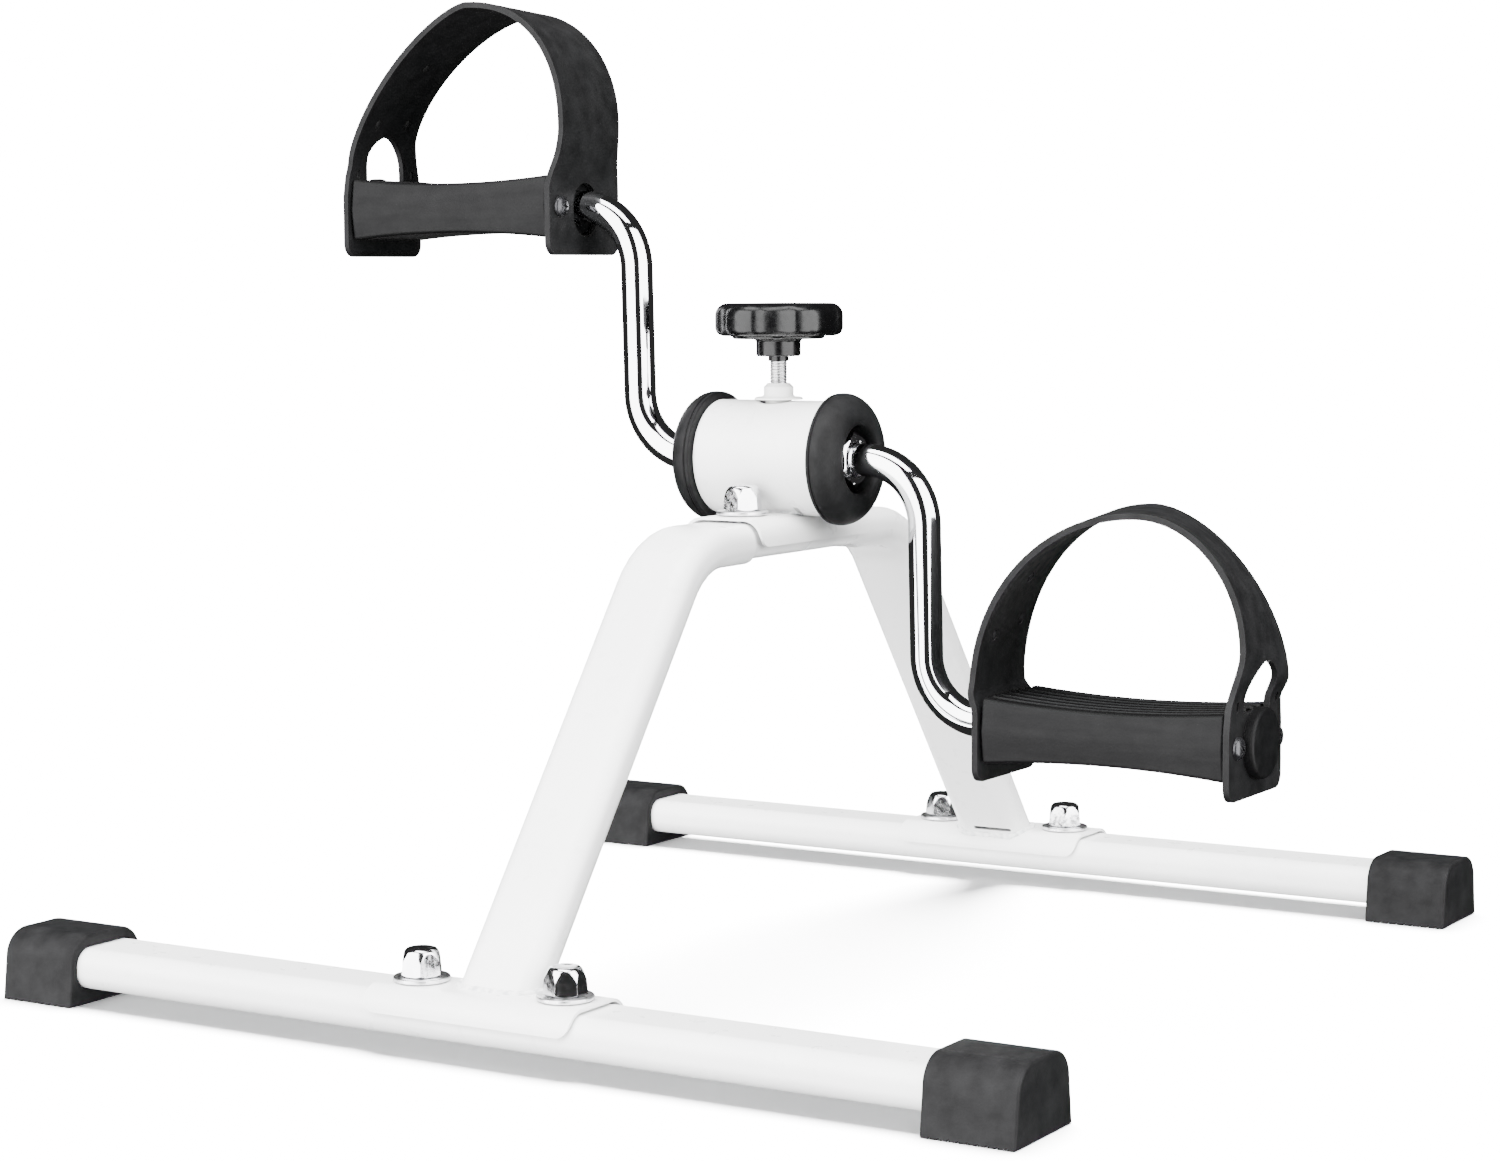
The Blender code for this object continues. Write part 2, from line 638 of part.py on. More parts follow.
def knob_mesh():
    """Star knob with its collar and neck, bored for the screw."""
    star = prism(knob_outline(), KNOB_BOTTOM, KNOB_TOP, rounding=3.2 * MM)
    inside = KNOB_BOTTOM + 2 * MM
    neck = 3.9 * MM
    profile = [(0, inside), (COLLAR_RADIUS, inside), (COLLAR_RADIUS, COLLAR_BOTTOM)]
    profile += [(neck, COLLAR_BOTTOM), (neck, NECK_BOTTOM), (0, NECK_BOTTOM)]
    solid = combined(star, [turned(profile)], "UNION")
    return cut(solid, rod(THREAD_RADIUS + GAP, NECK_BOTTOM - MM, SCREW_TOP + GAP))


def tension_screw_mesh():
    low = SHOE_TOP + GAP
    tip = 0.8 * MM
    profile = [(0, SCREW_TOP), (THREAD_RADIUS, SCREW_TOP), (THREAD_RADIUS, low + tip)]
    profile += [(THREAD_RADIUS - tip, low), (0, low)]
    return turned(profile, steps=20)


def build_brake():
    lining_inner = DRUM_RADIUS + BRAKE_CLEARANCE
    lining_outer = lining_inner + LINING_THICKNESS
    centre = Matrix.Translation((0, 0, HUB_Z))
    lift = empty("brake_lift", centre)
    piece("brake_lining", arch_block(lining_outer, lining_inner), FELT, parent=lift)
    shoe = arch_block(None, lining_outer + GAP, SHOE_TOP - HUB_Z)
    piece("brake_shoe", shoe, STEEL, parent=lift)
    turn = empty("knob_turn", Matrix.Identity(4), lift)
    down = Matrix.Translation((0, 0, -HUB_Z))
    piece("tension_screw", tension_screw_mesh(), STEEL, down, turn)
    piece("tension_knob", knob_mesh(), KNOB_PLASTIC, down, turn)


# ---------------------------------------------------------------- pedals

# Outer surface of the long edges of the straps, in millimetres: u is the distance from
# the hub's middle plane, before the left pedal's inset, and z the height over the pedal's axis. Each edge rises over the
# plates to its two springing points (u, z), then bends up to its crest on superellipses,
# whose powers come third.
STRAP_EDGES = {
    "right_near": {"crest": (152.6, 78.9), "inner": (88.5, 14, 2.0), "outer": (193.9, 31, 1.95)},
    "right_far": {"crest": (141.0, 79.4), "inner": (87.0, 14, 2.05), "outer": (192.5, 19, 1.65)},
    "left_near": {"crest": (131.2, 77.4), "inner": (86.5, 29, 2.25), "outer": (188.2, 19, 1.42)},
    "left_far": {"crest": (130.9, 75.7), "inner": (89.3, 31.6, 2.05), "outer": (189.2, 26.6, 1.52)},
}
PLATE_TOP_IN = 6 * MM               # the end plates are flat up to here
PLATE_TOP_OUT = 12.6 * MM
PLATE_CORNER = 5 * MM


def strap_width(z):
    """Half the strap's width at a height: rounded plate corners, then a waist over the plate."""
    if z < PLATE_BOTTOM + PLATE_CORNER:
        drop = PLATE_BOTTOM + PLATE_CORNER - z
        return PLATE_HALF_WIDTH - PLATE_CORNER + math.sqrt(max(PLATE_CORNER ** 2 - drop ** 2, 0))
    share = min(max((z - PLATE_TOP_IN) / (14 * MM), 0), 1)
    return PLATE_HALF_WIDTH + (STRAP_HALF_WIDTH - PLATE_HALF_WIDTH) * share * share * (3 - 2 * share)


def strap_side(crest, spring, plate_u, plate_top):
    """(u, z) points of half an edge, from the plate's bottom corner up to the crest."""
    u, z, power = spring[0] * MM, spring[1] * MM, spring[2]
    points = []
    for i in range(5):
        angle = math.radians(90 * i / 4)
        points.append((plate_u, PLATE_BOTTOM + PLATE_CORNER * (1 - math.cos(angle))))
    points.append((plate_u, plate_top))
    for i in range(1, 5):
        share = i / 5
        blend = share * share * (3 - 2 * share)
        points.append((plate_u + (u - plate_u) * blend, plate_top + (z - plate_top) * share))
    for i in range(10):
        angle = math.radians(90 * i / 10)
        across = math.cos(angle) ** (2 / power)
        up = math.sin(angle) ** (2 / power)
        points.append((crest[0] + (u - crest[0]) * across, z + (crest[1] - z) * up))
    return points


def strap_edge(name):
    shape = STRAP_EDGES[name]
    crest = (shape["crest"][0] * MM, shape["crest"][1] * MM)
    inner = strap_side(crest, shape["inner"], PLATE_IN, PLATE_TOP_IN)
    outer = strap_side(crest, shape["outer"], PLATE_OUT, PLATE_TOP_OUT)
    return inner + [crest] + outer[::-1]


def strap_mesh(side):
    """Moulded strap with its two end plates, as a sheet between its two long edges."""
    near, far = strap_edge(f"{side}_near"), strap_edge(f"{side}_far")
    work = bmesh.new()
    rows = []
    for (near_u, near_z), (far_u, far_z) in zip(near, far):
        near_point = Vector((near_u, -strap_width(near_z), near_z))
        far_point = Vector((far_u, strap_width(far_z), far_z))
        rows.append([work.verts.new(near_point.lerp(far_point, share)) for share in (0, 0.5, 1)])
    for row, following in zip(rows, rows[1:]):
        for i in range(len(row) - 1):
            work.faces.new((row[i], following[i], following[i + 1], row[i + 1]))
    mesh = bpy.data.meshes.new("strap")
    work.to_mesh(mesh)
    work.free()
    obj = scratch(mesh)
    solidify = obj.modifiers.new("thickness", "SOLIDIFY")
    solidify.thickness = STRAP_THICKNESS
    solidify.offset = -1
    solidify.use_even_offset = True
    obj.modifiers.new("triangles", "TRIANGULATE")
    return cut(baked(obj), *strap_openings())


def through_plate(outline, u):
    """Cutter of a (y, z) outline through the end plate near u."""
    reach = 16 * MM
    return moved(prism(outline, u - reach, u + reach), OUTLINE_TO_YZ)


def slot_outline(y, z, width, height, steps):
    """Slot with round ends, height taller than wide, about a (y, z) centre."""
    rise = (height - width) / 2
    outline = arc((y, z + rise), width / 2, 0, 180, 2 * steps)
    return outline + arc((y, z - rise), width / 2, 180, 360, 2 * steps)


def strap_openings():
    """Cutters of a strap's window, its two rod holes, its two slots and its screw holes."""
    window = [(-WINDOW_HALF_WIDTH, WINDOW_LOW), (WINDOW_HALF_WIDTH, WINDOW_LOW)]
    window += arc((0, WINDOW_HIGH - WINDOW_HALF_WIDTH), WINDOW_HALF_WIDTH, 0, 180, 10)
    rod_slot = slot_outline(0, ROD_SLOT_Z, ROD_SLOT_WIDTH, ROD_SLOT_HEIGHT, steps=4)
    rod_hole = arc((0, 0), ROD_RADIUS + MM, 0, 342, 19)
    openings = [through_plate(window, PLATE_OUT)]
    openings.append(through_plate(rod_slot, PLATE_IN))
    openings.append(through_plate(rod_hole, PLATE_OUT))
    for way in (-1, 1):
        slot = slot_outline(way * PEDAL_SCREW_Y, SIDE_SLOT_Z, SIDE_SLOT_WIDTH, SIDE_SLOT_HEIGHT, steps=1)
        openings.append(through_plate(slot, PLATE_OUT))
        for u in (PLATE_IN, PLATE_OUT):
            hole = arc((way * PEDAL_SCREW_Y, 0), SCREW_HOLE_RADIUS, 0, 330, 11)
            openings.append(through_plate(hole, u))
    return openings


def tread_outline(height):
    """Section of a pedal block of the given half height: creased sides and grooved treads."""
    edge = PEDAL_HALF_DEPTH - PEDAL_CREASE
    top = [(-PEDAL_HALF_DEPTH, 0), (-edge, height - MM), (MM - edge, height)]
    for i in range(GROOVES):
        y = (i - (GROOVES - 1) / 2) * GROOVE_PITCH
        top += [(y - GROOVE_WIDTH / 2, height), (y - GROOVE_WIDTH / 4, height - GROOVE_DEPTH)]
        top += [(y + GROOVE_WIDTH / 4, height - GROOVE_DEPTH), (y + GROOVE_WIDTH / 2, height)]
    top += [(edge - MM, height), (edge, height - MM)]
    return top + [(-y, -z) for y, z in top]


def pedal_block_mesh():
    """Block between the plates: waisted in height along its length, bored for the rod."""
    start = PLATE_IN + STRAP_THICKNESS + GAP
    end = PLATE_OUT - STRAP_THICKNESS - GAP
    stations = 8
    rings = []
    for i in range(stations + 1):
        share = i / stations
        waist = 1 - (2 * share - 1) ** 2
        outline = tread_outline(PEDAL_HALF_HEIGHT + (PEDAL_WAIST - PEDAL_HALF_HEIGHT) * waist)
        rings.append([Vector((start + (end - start) * share, y, z)) for y, z in outline])
    block = lofted(rings)
    cutters = [moved(rod(ROD_RADIUS + GAP, 0, PLATE_OUT), TURN_TO_X)]
    for way in (-1, 1):
        shift = Matrix.Translation((0, way * PEDAL_SCREW_Y, 0))
        depth = PEDAL_SCREW_LENGTH + MM
        for low, high in ((0, start + depth), (end - depth, end + depth)):
            cutters.append(moved(rod(2.3 * MM, low, high, steps=12), TURN_TO_X, shift))
    return cut(block, *cutters)


def pedal_screw_mesh():
    """Pan-head screw pointing along -Z, with the underside of its head at the origin."""
    shank, head, height = 2 * MM, 4 * MM, 2.2 * MM
    profile = [(0, height), (head * 0.5, height * 0.93), (head * 0.85, height * 0.65), (head, height * 0.15)]
    profile += [(head, 0), (shank, 0), (shank, -PEDAL_SCREW_LENGTH), (0, -PEDAL_SCREW_LENGTH)]
    return turned(profile, steps=16)


def rod_cap_mesh():
    """Round cap over the rod's end, hollow for the rod and its clip."""
    base = PLATE_OUT + GAP
    edge = 0.9 * MM
    hollow_top = ROD_END + 2 * GAP
    profile = [(0, PEDAL_CAP_FACE), (PEDAL_CAP_RADIUS - edge, PEDAL_CAP_FACE)]
    profile += [(PEDAL_CAP_RADIUS, PEDAL_CAP_FACE - edge), (PEDAL_CAP_RADIUS, base), (10 * MM, base)]
    profile += [(10 * MM, hollow_top), (0, hollow_top)]
    return moved(turned(profile, steps=28), TURN_TO_X)


def build_pedal(side, turn, axle, crank):
    """One pedal on its own axle empty; turn is 1 on the +X side and -1 on the other."""
    pedal = empty(f"{side}_pedal_axle", axle, crank)
    block, cap = pedal_block_mesh(), rod_cap_mesh()
    clip_x = PLATE_OUT + 2 * GAP
    clip = tube_ring(ROD_RADIUS + GAP, CLIP_RADIUS, clip_x, clip_x + CLIP_THICKNESS, steps=20)
    strap = strap_mesh(side)
    flip = Matrix.Scale(-1, 4, (1, 0, 0)) if turn < 0 else Matrix.Identity(4)
    piece(f"{side}_pedal_block", mirrored(block, flip), BLACK_PLASTIC, parent=pedal)
    piece(f"{side}_pedal_strap", mirrored(strap, flip), STRAP_PLASTIC, parent=pedal)
    piece(f"{side}_rod_cap", mirrored(cap, flip), BLACK_PLASTIC, parent=pedal)
    piece(f"{side}_rod_clip", mirrored(moved(clip, TURN_TO_X), flip), STEEL, parent=pedal)
    screw = pedal_screw_mesh()
    for end, u, way in (("inner", PLATE_IN - GAP, -1), ("outer", PLATE_OUT + GAP, 1)):
        for place, y in (("front", -PEDAL_SCREW_Y), ("rear", PEDAL_SCREW_Y)):
            aim = Matrix.Rotation(turn * way * math.pi / 2, 4, "Y")
            spot = Matrix.Translation((turn * u, y, 0)) @ aim
            piece(f"{side}_{end}_{place}_screw", screw, BLACK_STEEL, spot, pedal)


def mirrored(mesh, flip):
    """The mesh after a mirroring matrix, with its faces turned to point out again."""
    mesh.transform(flip)
    if flip.determinant() < 0:
        mesh.flip_normals()
    return mesh


def crank_arm_mesh(end):
    """Z-bent arm for the +X side that hangs down along -Z, with its rod's end at X end."""
    start = SOCKET_X + MM
    corners = [(start, 0, 0), (ARM_X, 0, 0), (ARM_X, 0, -THROW), (end, 0, -THROW)]
    return round_rod(filleted(corners, ARM_BEND), ROD_RADIUS)


def build_crank():
    centre = Matrix.Translation((0, 0, HUB_Z)) @ Matrix.Rotation(CRANK_ANGLE, 4, "X")
    crank = empty("crank", centre)
    piece("hub_spindle", spindle_mesh(), STEEL, parent=crank)
    nut = lock_nut_mesh()
    turns = {"left": Matrix.Rotation(math.pi, 4, "Y"), "right": Matrix.Identity(4)}
    level = Matrix.Rotation(-CRANK_ANGLE, 4, "X")
    for side, way, inset in (("left", -1, LEFT_PEDAL_INSET), ("right", 1, 0.0)):
        piece(f"{side}_crank_arm", crank_arm_mesh(ROD_END - inset), CHROME, turns[side], crank)
        piece(f"{side}_lock_nut", nut, CHROME, turns[side], crank)
        axle = Matrix.Translation((-way * inset, 0, -way * THROW)) @ level
        build_pedal(side, way, axle, crank)


clear_scene()
PARTS = new_collection("pedal_exerciser")
CUTTERS = new_collection("cutters")
build_base()
build_legs()
build_hub()
build_brake()
build_crank()
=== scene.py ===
"""Looks of a pedal exerciser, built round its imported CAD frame.

Metres, +Z up, in the frame's own axes: the crank turns about X, left is -X and front is -Y.
Each fine piece stands where its CAD node is and rides on the same body.
"""

import json
import math

import bmesh
import bpy
from mathutils import Matrix, Vector

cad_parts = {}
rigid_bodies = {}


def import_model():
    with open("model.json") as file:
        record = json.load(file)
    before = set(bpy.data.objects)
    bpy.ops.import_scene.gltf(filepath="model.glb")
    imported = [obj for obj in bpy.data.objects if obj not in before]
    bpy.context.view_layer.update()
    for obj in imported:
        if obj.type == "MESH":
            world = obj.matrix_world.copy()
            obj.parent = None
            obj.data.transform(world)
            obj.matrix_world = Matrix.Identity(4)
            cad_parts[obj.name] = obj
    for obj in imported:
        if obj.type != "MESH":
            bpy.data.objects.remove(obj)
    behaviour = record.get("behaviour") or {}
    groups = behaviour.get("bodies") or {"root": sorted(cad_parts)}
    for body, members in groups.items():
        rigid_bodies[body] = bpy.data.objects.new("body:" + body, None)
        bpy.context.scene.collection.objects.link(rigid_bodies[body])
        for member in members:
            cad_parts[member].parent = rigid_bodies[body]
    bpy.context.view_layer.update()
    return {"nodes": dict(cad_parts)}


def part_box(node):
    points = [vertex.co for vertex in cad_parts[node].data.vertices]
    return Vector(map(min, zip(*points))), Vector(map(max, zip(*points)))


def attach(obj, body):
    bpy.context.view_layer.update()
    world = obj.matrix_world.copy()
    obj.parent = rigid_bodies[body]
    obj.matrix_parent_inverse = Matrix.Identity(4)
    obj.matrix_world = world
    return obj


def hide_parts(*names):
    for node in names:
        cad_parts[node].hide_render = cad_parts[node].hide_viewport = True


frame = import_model()

MM = 0.001
GAP = 0.3 * MM

# Frame tube and base.
TUBE_WIDTH = 30 * MM
TUBE_HEIGHT = 14.5 * MM
TUBE_CORNER = 6.3 * MM
TUBE_WALL = 1.3 * MM
SHEET = 1.6 * MM
SHEET_WALL = 1.0 * MM                # drawn thinner inside, which darkens the line under its edge
SADDLE_CORNER = 5 * MM
LEG_SHOULDER_Y = 74 * MM
LEG_BEND = 34 * MM
SWAGE_Y = 40 * MM
SWAGE_SCALE = 0.90
WASHER_RADIUS = 9.5 * MM
WASHER_THICKNESS = 1.5 * MM
STUD_RADIUS = 4 * MM
NUT_ACROSS_FLATS = 13 * MM
NUT_TOP_FLATS = 11.2 * MM
NUT_HEIGHT = 9 * MM

# Hub.
HOUSING_RADIUS = 21.2 * MM
HOUSING_WALL = 2 * MM
HOUSING_HALF = 24.6 * MM
CAP_RADIUS = 24.2 * MM
CAP_FACE_X = 35.4 * MM
RECESS_RADIUS = 12.6 * MM
RECESS_FLOOR_X = 26.6 * MM
BUSH_OUTER_X = 18.6 * MM
SPINDLE_RADIUS = 8 * MM
SPINDLE_HALF = 26 * MM
LOCK_NUT_FLATS = 18 * MM
LOCK_NUT_THICKNESS = 6 * MM
SCREW_HOLE = 7 * MM                 # hole in the housing under the screw's bush

# Cranks and pedals.
ROD_RADIUS = 6 * MM
SOCKET_X = 10 * MM
ARM_X = 60.6 * MM
ARM_BEND = 23 * MM
THROW = 93.5 * MM
CRANK_ANGLE = math.radians(2.0)
ROD_END = 190.4 * MM                # outer end of the right rod
LEFT_PEDAL_INSET = 7.8 * MM         # the left pedal and its rod's end sit this much nearer the hub
PLATE_IN = 91 * MM
PLATE_OUT = 188.5 * MM
PLATE_BOTTOM = -18.3 * MM
PLATE_CORNER = 5 * MM
PLATE_TOP_IN = 6 * MM
PLATE_TOP_OUT = 12.6 * MM
PLATE_NEAR = 24 * MM                # half widths of the end plates
PLATE_FAR = 22.6 * MM
STRAP_HALF_WIDTH = 21 * MM
STRAP_THICKNESS = 2.2 * MM
BLOCK_HALF_DEPTH = 23 * MM
BLOCK_HALF_HEIGHT = 11.7 * MM
BLOCK_WAIST = 9.4 * MM
BLOCK_CREASE = 1.2 * MM
BLOCK_END_GAP = 0.9 * MM            # dark gap between the block and each plate
GROOVES = 6
GROOVE_PITCH = 6.2 * MM
GROOVE_WIDTH = 3.0 * MM
GROOVE_DEPTH = 1.1 * MM
SCREW_Y = 17 * MM
SCREW_HEAD = 4 * MM
ROD_CAP_RADIUS = 12.5 * MM
ROD_CAP_FACE = 192.8 * MM

# Tension knob and screw.
THREAD_RADIUS = 3 * MM
THREAD_PITCH = 1 * MM
THREAD_DEPTH = 0.35 * MM
KNOB_BOTTOM = 231.4 * MM
KNOB_TOP = 243.4 * MM
KNOB_LOBES = 5
KNOB_VALLEY = math.radians(-63)
LOBE_ARC = 12 * MM                  # radius of a lobe's arc
LOBE_CENTRE = 12.3 * MM
VALLEY_ARC = 16.2 * MM
VALLEY_CENTRE = 36.5 * MM
KNOB_SHOULDER = 4.5 * MM
COLLAR_RADIUS = 8.2 * MM
COLLAR_BOTTOM = 224 * MM
NECK_BOTTOM = 222.2 * MM
SCREW_TOP = 237 * MM

TURN_TO_X = Matrix.Rotation(math.pi / 2, 4, "Y")
HALF_TURN = Matrix.Rotation(math.pi, 4, "Z")
UNMOVED = Matrix.Identity(4)
OUTLINE_TO_YZ = Matrix(((0, 0, 1, 0), (1, 0, 0, 0), (0, 1, 0, 0), (0, 0, 0, 1)))


def middle(node):
    low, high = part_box(node)
    return (low + high) / 2


BAR_Z = middle("front_base_bar").z
BASE_HALF_SPACING = abs(middle("front_base_bar").y)
BAR_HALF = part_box("front_base_bar")[1].x
FOOT_LOW, FOOT_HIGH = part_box("front_right_foot_cap")
FOOT_IN = FOOT_LOW.x
FOOT_LENGTH = FOOT_HIGH.x - FOOT_IN
FOOT_WIDTH = 2 * (FOOT_HIGH.y - middle("front_right_foot_cap").y)
FOOT_HEIGHT = FOOT_HIGH.z
LEG_TOP_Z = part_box("front_leg")[1].z - TUBE_HEIGHT / 2
HUB_Z = middle("hub_housing").z
BASE_BOLT_X = middle("front_right_base_nut").x
BRACKET_BOLT_Y = middle("rear_bracket_nut").y
SADDLE_LENGTH = 2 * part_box("front_saddle")[1].x
SADDLE_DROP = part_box("front_saddle")[1].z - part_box("front_saddle")[0].z
BRACKET_LENGTH = 2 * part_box("hub_bracket")[1].y
BRACKET_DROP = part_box("hub_bracket")[1].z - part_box("hub_bracket")[0].z
BUSH_LOW, BUSH_HIGH = (corner.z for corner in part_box("screw_bush"))
THREAD_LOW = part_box("tension_screw")[0].z


# ---------------------------------------------------------------- mesh tools

def meshed(work, name):
    """The bmesh as a new mesh; the bmesh is freed."""
    mesh = bpy.data.meshes.new(name)
    work.to_mesh(mesh)
    work.free()
    return mesh


def baked(obj):
    """The evaluated shape of a helper object as a welded mesh; the helper is removed."""
    bpy.context.view_layer.update()
    depsgraph = bpy.context.evaluated_depsgraph_get()
    mesh = bpy.data.meshes.new_from_object(obj.evaluated_get(depsgraph))
    work = bmesh.new()
    work.from_mesh(mesh)
    bmesh.ops.remove_doubles(work, verts=work.verts, dist=1e-6)
    work.to_mesh(mesh)
    work.free()
    bpy.data.objects.remove(obj, do_unlink=True)
    return mesh


def scratch(data):
    obj = bpy.data.objects.new("scratch", data)
    bpy.context.scene.collection.objects.link(obj)
    return obj


def thickened(mesh, wall):
    """Helper object of the mesh, with a wall grown inwards from it."""
    obj = scratch(mesh)
    solidify = obj.modifiers.new("wall", "SOLIDIFY")
    solidify.thickness = wall
    solidify.offset = -1
    solidify.use_even_offset = True
    return obj


def show(name, mesh, body, look, nodes=(), place=UNMOVED, smooth_angle=35):
    """One visible piece: where it stands, the body it rides on and the nodes it stands for."""
    surface, slot = look
    obj = bpy.data.objects.new(name, mesh)
    bpy.context.scene.collection.objects.link(obj)
    mesh.materials.clear()
    mesh.materials.append(surface)
    mesh.shade_smooth()
    mesh.set_sharp_from_angle(angle=math.radians(smooth_angle))
    weighted = obj.modifiers.new("weighted_normals", "WEIGHTED_NORMAL")
    weighted.keep_sharp = True
    obj.matrix_world = place
    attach(obj, body)
    if nodes:
        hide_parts(*nodes)
    return obj


def turned(profile, steps=64, ring=False):
    """Mesh turned about Z from (radius, height) points that run down the outer side."""
    mesh = bpy.data.meshes.new("turned")
    count = len(profile)
    edges = [(i, (i + 1) % count) for i in range(count if ring else count - 1)]
    mesh.from_pydata([(radius, 0.0, height) for radius, height in profile], edges, [])
    obj = scratch(mesh)
    screw = obj.modifiers.new("turn", "SCREW")
    screw.steps = steps
    screw.render_steps = steps
    screw.use_merge_vertices = True
    screw.merge_threshold = 1e-5
    return baked(obj)


def rod(radius, low, high, steps=32):
    return turned([(0, high), (radius, high), (radius, low), (0, low)], steps)


def prism(outline, low, high, rounding=0.0):
    """Mesh of an outline in local XY, from height low to high, with rounded rims if asked."""
    curve = bpy.data.curves.new("outline", "CURVE")
    curve.dimensions = "2D"
    curve.fill_mode = "BOTH"
    curve.extrude = (high - low) / 2 - rounding
    curve.bevel_depth = rounding
    curve.bevel_resolution = 4
    curve.offset = -rounding
    spline = curve.splines.new("POLY")
    spline.points.add(len(outline) - 1)
    for point, (x, y) in zip(spline.points, outline):
        point.co = (x, y, 0, 1)
    spline.use_cyclic_u = True
    mesh = baked(scratch(curve))
    mesh.transform(Matrix.Translation((0, 0, (high + low) / 2)))
    return mesh


def moved(mesh, *steps):
    for step in steps:
        mesh.transform(step)
    return mesh


def combined(base, others, operation):
    """Base mesh after a Boolean with each of the other meshes."""
    obj = scratch(base)
    helpers = []
    for other in others:
        helper = scratch(other)
        helpers.append(helper)
        boolean = obj.modifiers.new("boolean", "BOOLEAN")
        boolean.solver = "EXACT"
        boolean.operation = operation
        boolean.object = helper
    mesh = baked(obj)
    for helper in helpers:
        bpy.data.objects.remove(helper, do_unlink=True)
    return mesh


def cut(base, *cutters):
    return combined(base, cutters, "DIFFERENCE")


def joined(*meshes):
    """Several meshes in one, left as they are."""
    work = bmesh.new()
    for mesh in meshes:
        work.from_mesh(mesh)
    return meshed(work, "joined")


def bevelled(mesh, width, segments=2, angle=40):
    """Mesh with its sharp edges rounded."""
    obj = scratch(mesh)
    bevel = obj.modifiers.new("bevel", "BEVEL")
    bevel.width = width
    bevel.segments = segments
    bevel.limit_method = "ANGLE"
    bevel.angle_limit = math.radians(angle)
    return baked(obj)


def arc(centre, radius, start, end, steps):
    """Points of an arc in a plane; the angles are in degrees."""
    points = []
    for i in range(steps + 1):
        angle = math.radians(start + (end - start) * i / steps)
        points.append((centre[0] + radius * math.cos(angle), centre[1] + radius * math.sin(angle)))
    return points


def rounded_rectangle(width, height, corner, steps=8):
    x, y = width / 2 - corner, height / 2 - corner
    points = []
    for quarter, centre in enumerate(((x, y), (-x, y), (-x, -y), (x, -y))):
        points += arc(centre, corner, quarter * 90, quarter * 90 + 90, steps)
    return points


def flat_oval(grow=0.0, steps=8):
    """Section of the frame's tube, grown by an allowance all round."""
    return rounded_rectangle(TUBE_WIDTH + 2 * grow, TUBE_HEIGHT + 2 * grow, TUBE_CORNER + grow, steps)


def filleted(corners, radius, steps=18):
    """A path through the corners, with an arc of the given radius at each inner corner."""
    path = [Vector(corners[0])]
    for before, corner, after in zip(corners, corners[1:], corners[2:]):
        corner = Vector(corner)
        to_before = (Vector(before) - corner).normalized()
        to_after = (Vector(after) - corner).normalized()
        half = to_before.angle(to_after) / 2
        centre = corner + (to_before + to_after).normalized() * (radius / math.sin(half))
        spoke = corner + to_before * (radius / math.tan(half)) - centre
        axle = to_after.cross(to_before)
        for i in range(steps + 1):
            turn = Matrix.Rotation((math.pi - 2 * half) * i / steps, 3, axle)
            path.append(centre + turn @ spoke)
    path.append(Vector(corners[-1]))
    return path


def lofted(rings, wall=0.0, closed=False):
    """Skin through rings of equal counts: capped, a pipe with a wall, or a closed loop."""
    work = bmesh.new()
    rows = [[work.verts.new(point) for point in ring] for ring in rings]
    following = rows[1:] + rows[:1] if closed else rows[1:]
    for row, ahead in zip(rows, following):
        for i in range(len(row)):
            j = (i + 1) % len(row)
            work.faces.new((row[i], row[j], ahead[j], ahead[i]))
    if not wall and not closed:
        work.faces.new(rows[0])
        work.faces.new(rows[-1])
    bmesh.ops.recalc_face_normals(work, faces=work.faces)
    mesh = meshed(work, "loft")
    return baked(thickened(mesh, wall)) if wall else mesh


def round_rod(path, radius, sides=40):
    curve = bpy.data.curves.new("rod", "CURVE")
    curve.dimensions = "3D"
    curve.bevel_depth = radius
    curve.bevel_resolution = (sides - 4) // 2
    curve.use_fill_caps = True
    spline = curve.splines.new("POLY")
    spline.points.add(len(path) - 1)
    for point, place in zip(spline.points, path):
        point.co = (*place, 1)
    return baked(scratch(curve))


def hexagon(across_flats):
    return arc((0, 0), across_flats / math.sqrt(3), 0, 300, 5)


def bead(path, radius, closed=False, ripple=0.22, sides=10):
    """Weld bead along a path: a lumpy round string half sunk in what it joins."""
    rings = []
    count = len(path)
    for i, centre in enumerate(path):
        ahead = path[(i + 1) % count] if closed else path[min(i + 1, count - 1)]
        behind = path[i - 1] if closed else path[max(i - 1, 0)]
        along = (ahead - behind).normalized()
        across = along.cross(Vector((0, 0, 1))).normalized()
        rise = across.cross(along)
        lump = 1 + ripple * math.sin(i * 1.7) * math.sin(i * 0.43 + 1)
        taper = 1.0 if closed else min(1.0, 0.35 + min(i, count - 1 - i) * 0.22)
        size = radius * lump * taper
        ring = []
        for k in range(sides):
            angle = 2 * math.pi * k / sides
            ring.append(centre + across * (size * math.cos(angle)) + rise * (size * math.sin(angle)))
        rings.append(ring)
    return lofted(rings, closed=closed)


# ---------------------------------------------------------------- material tools

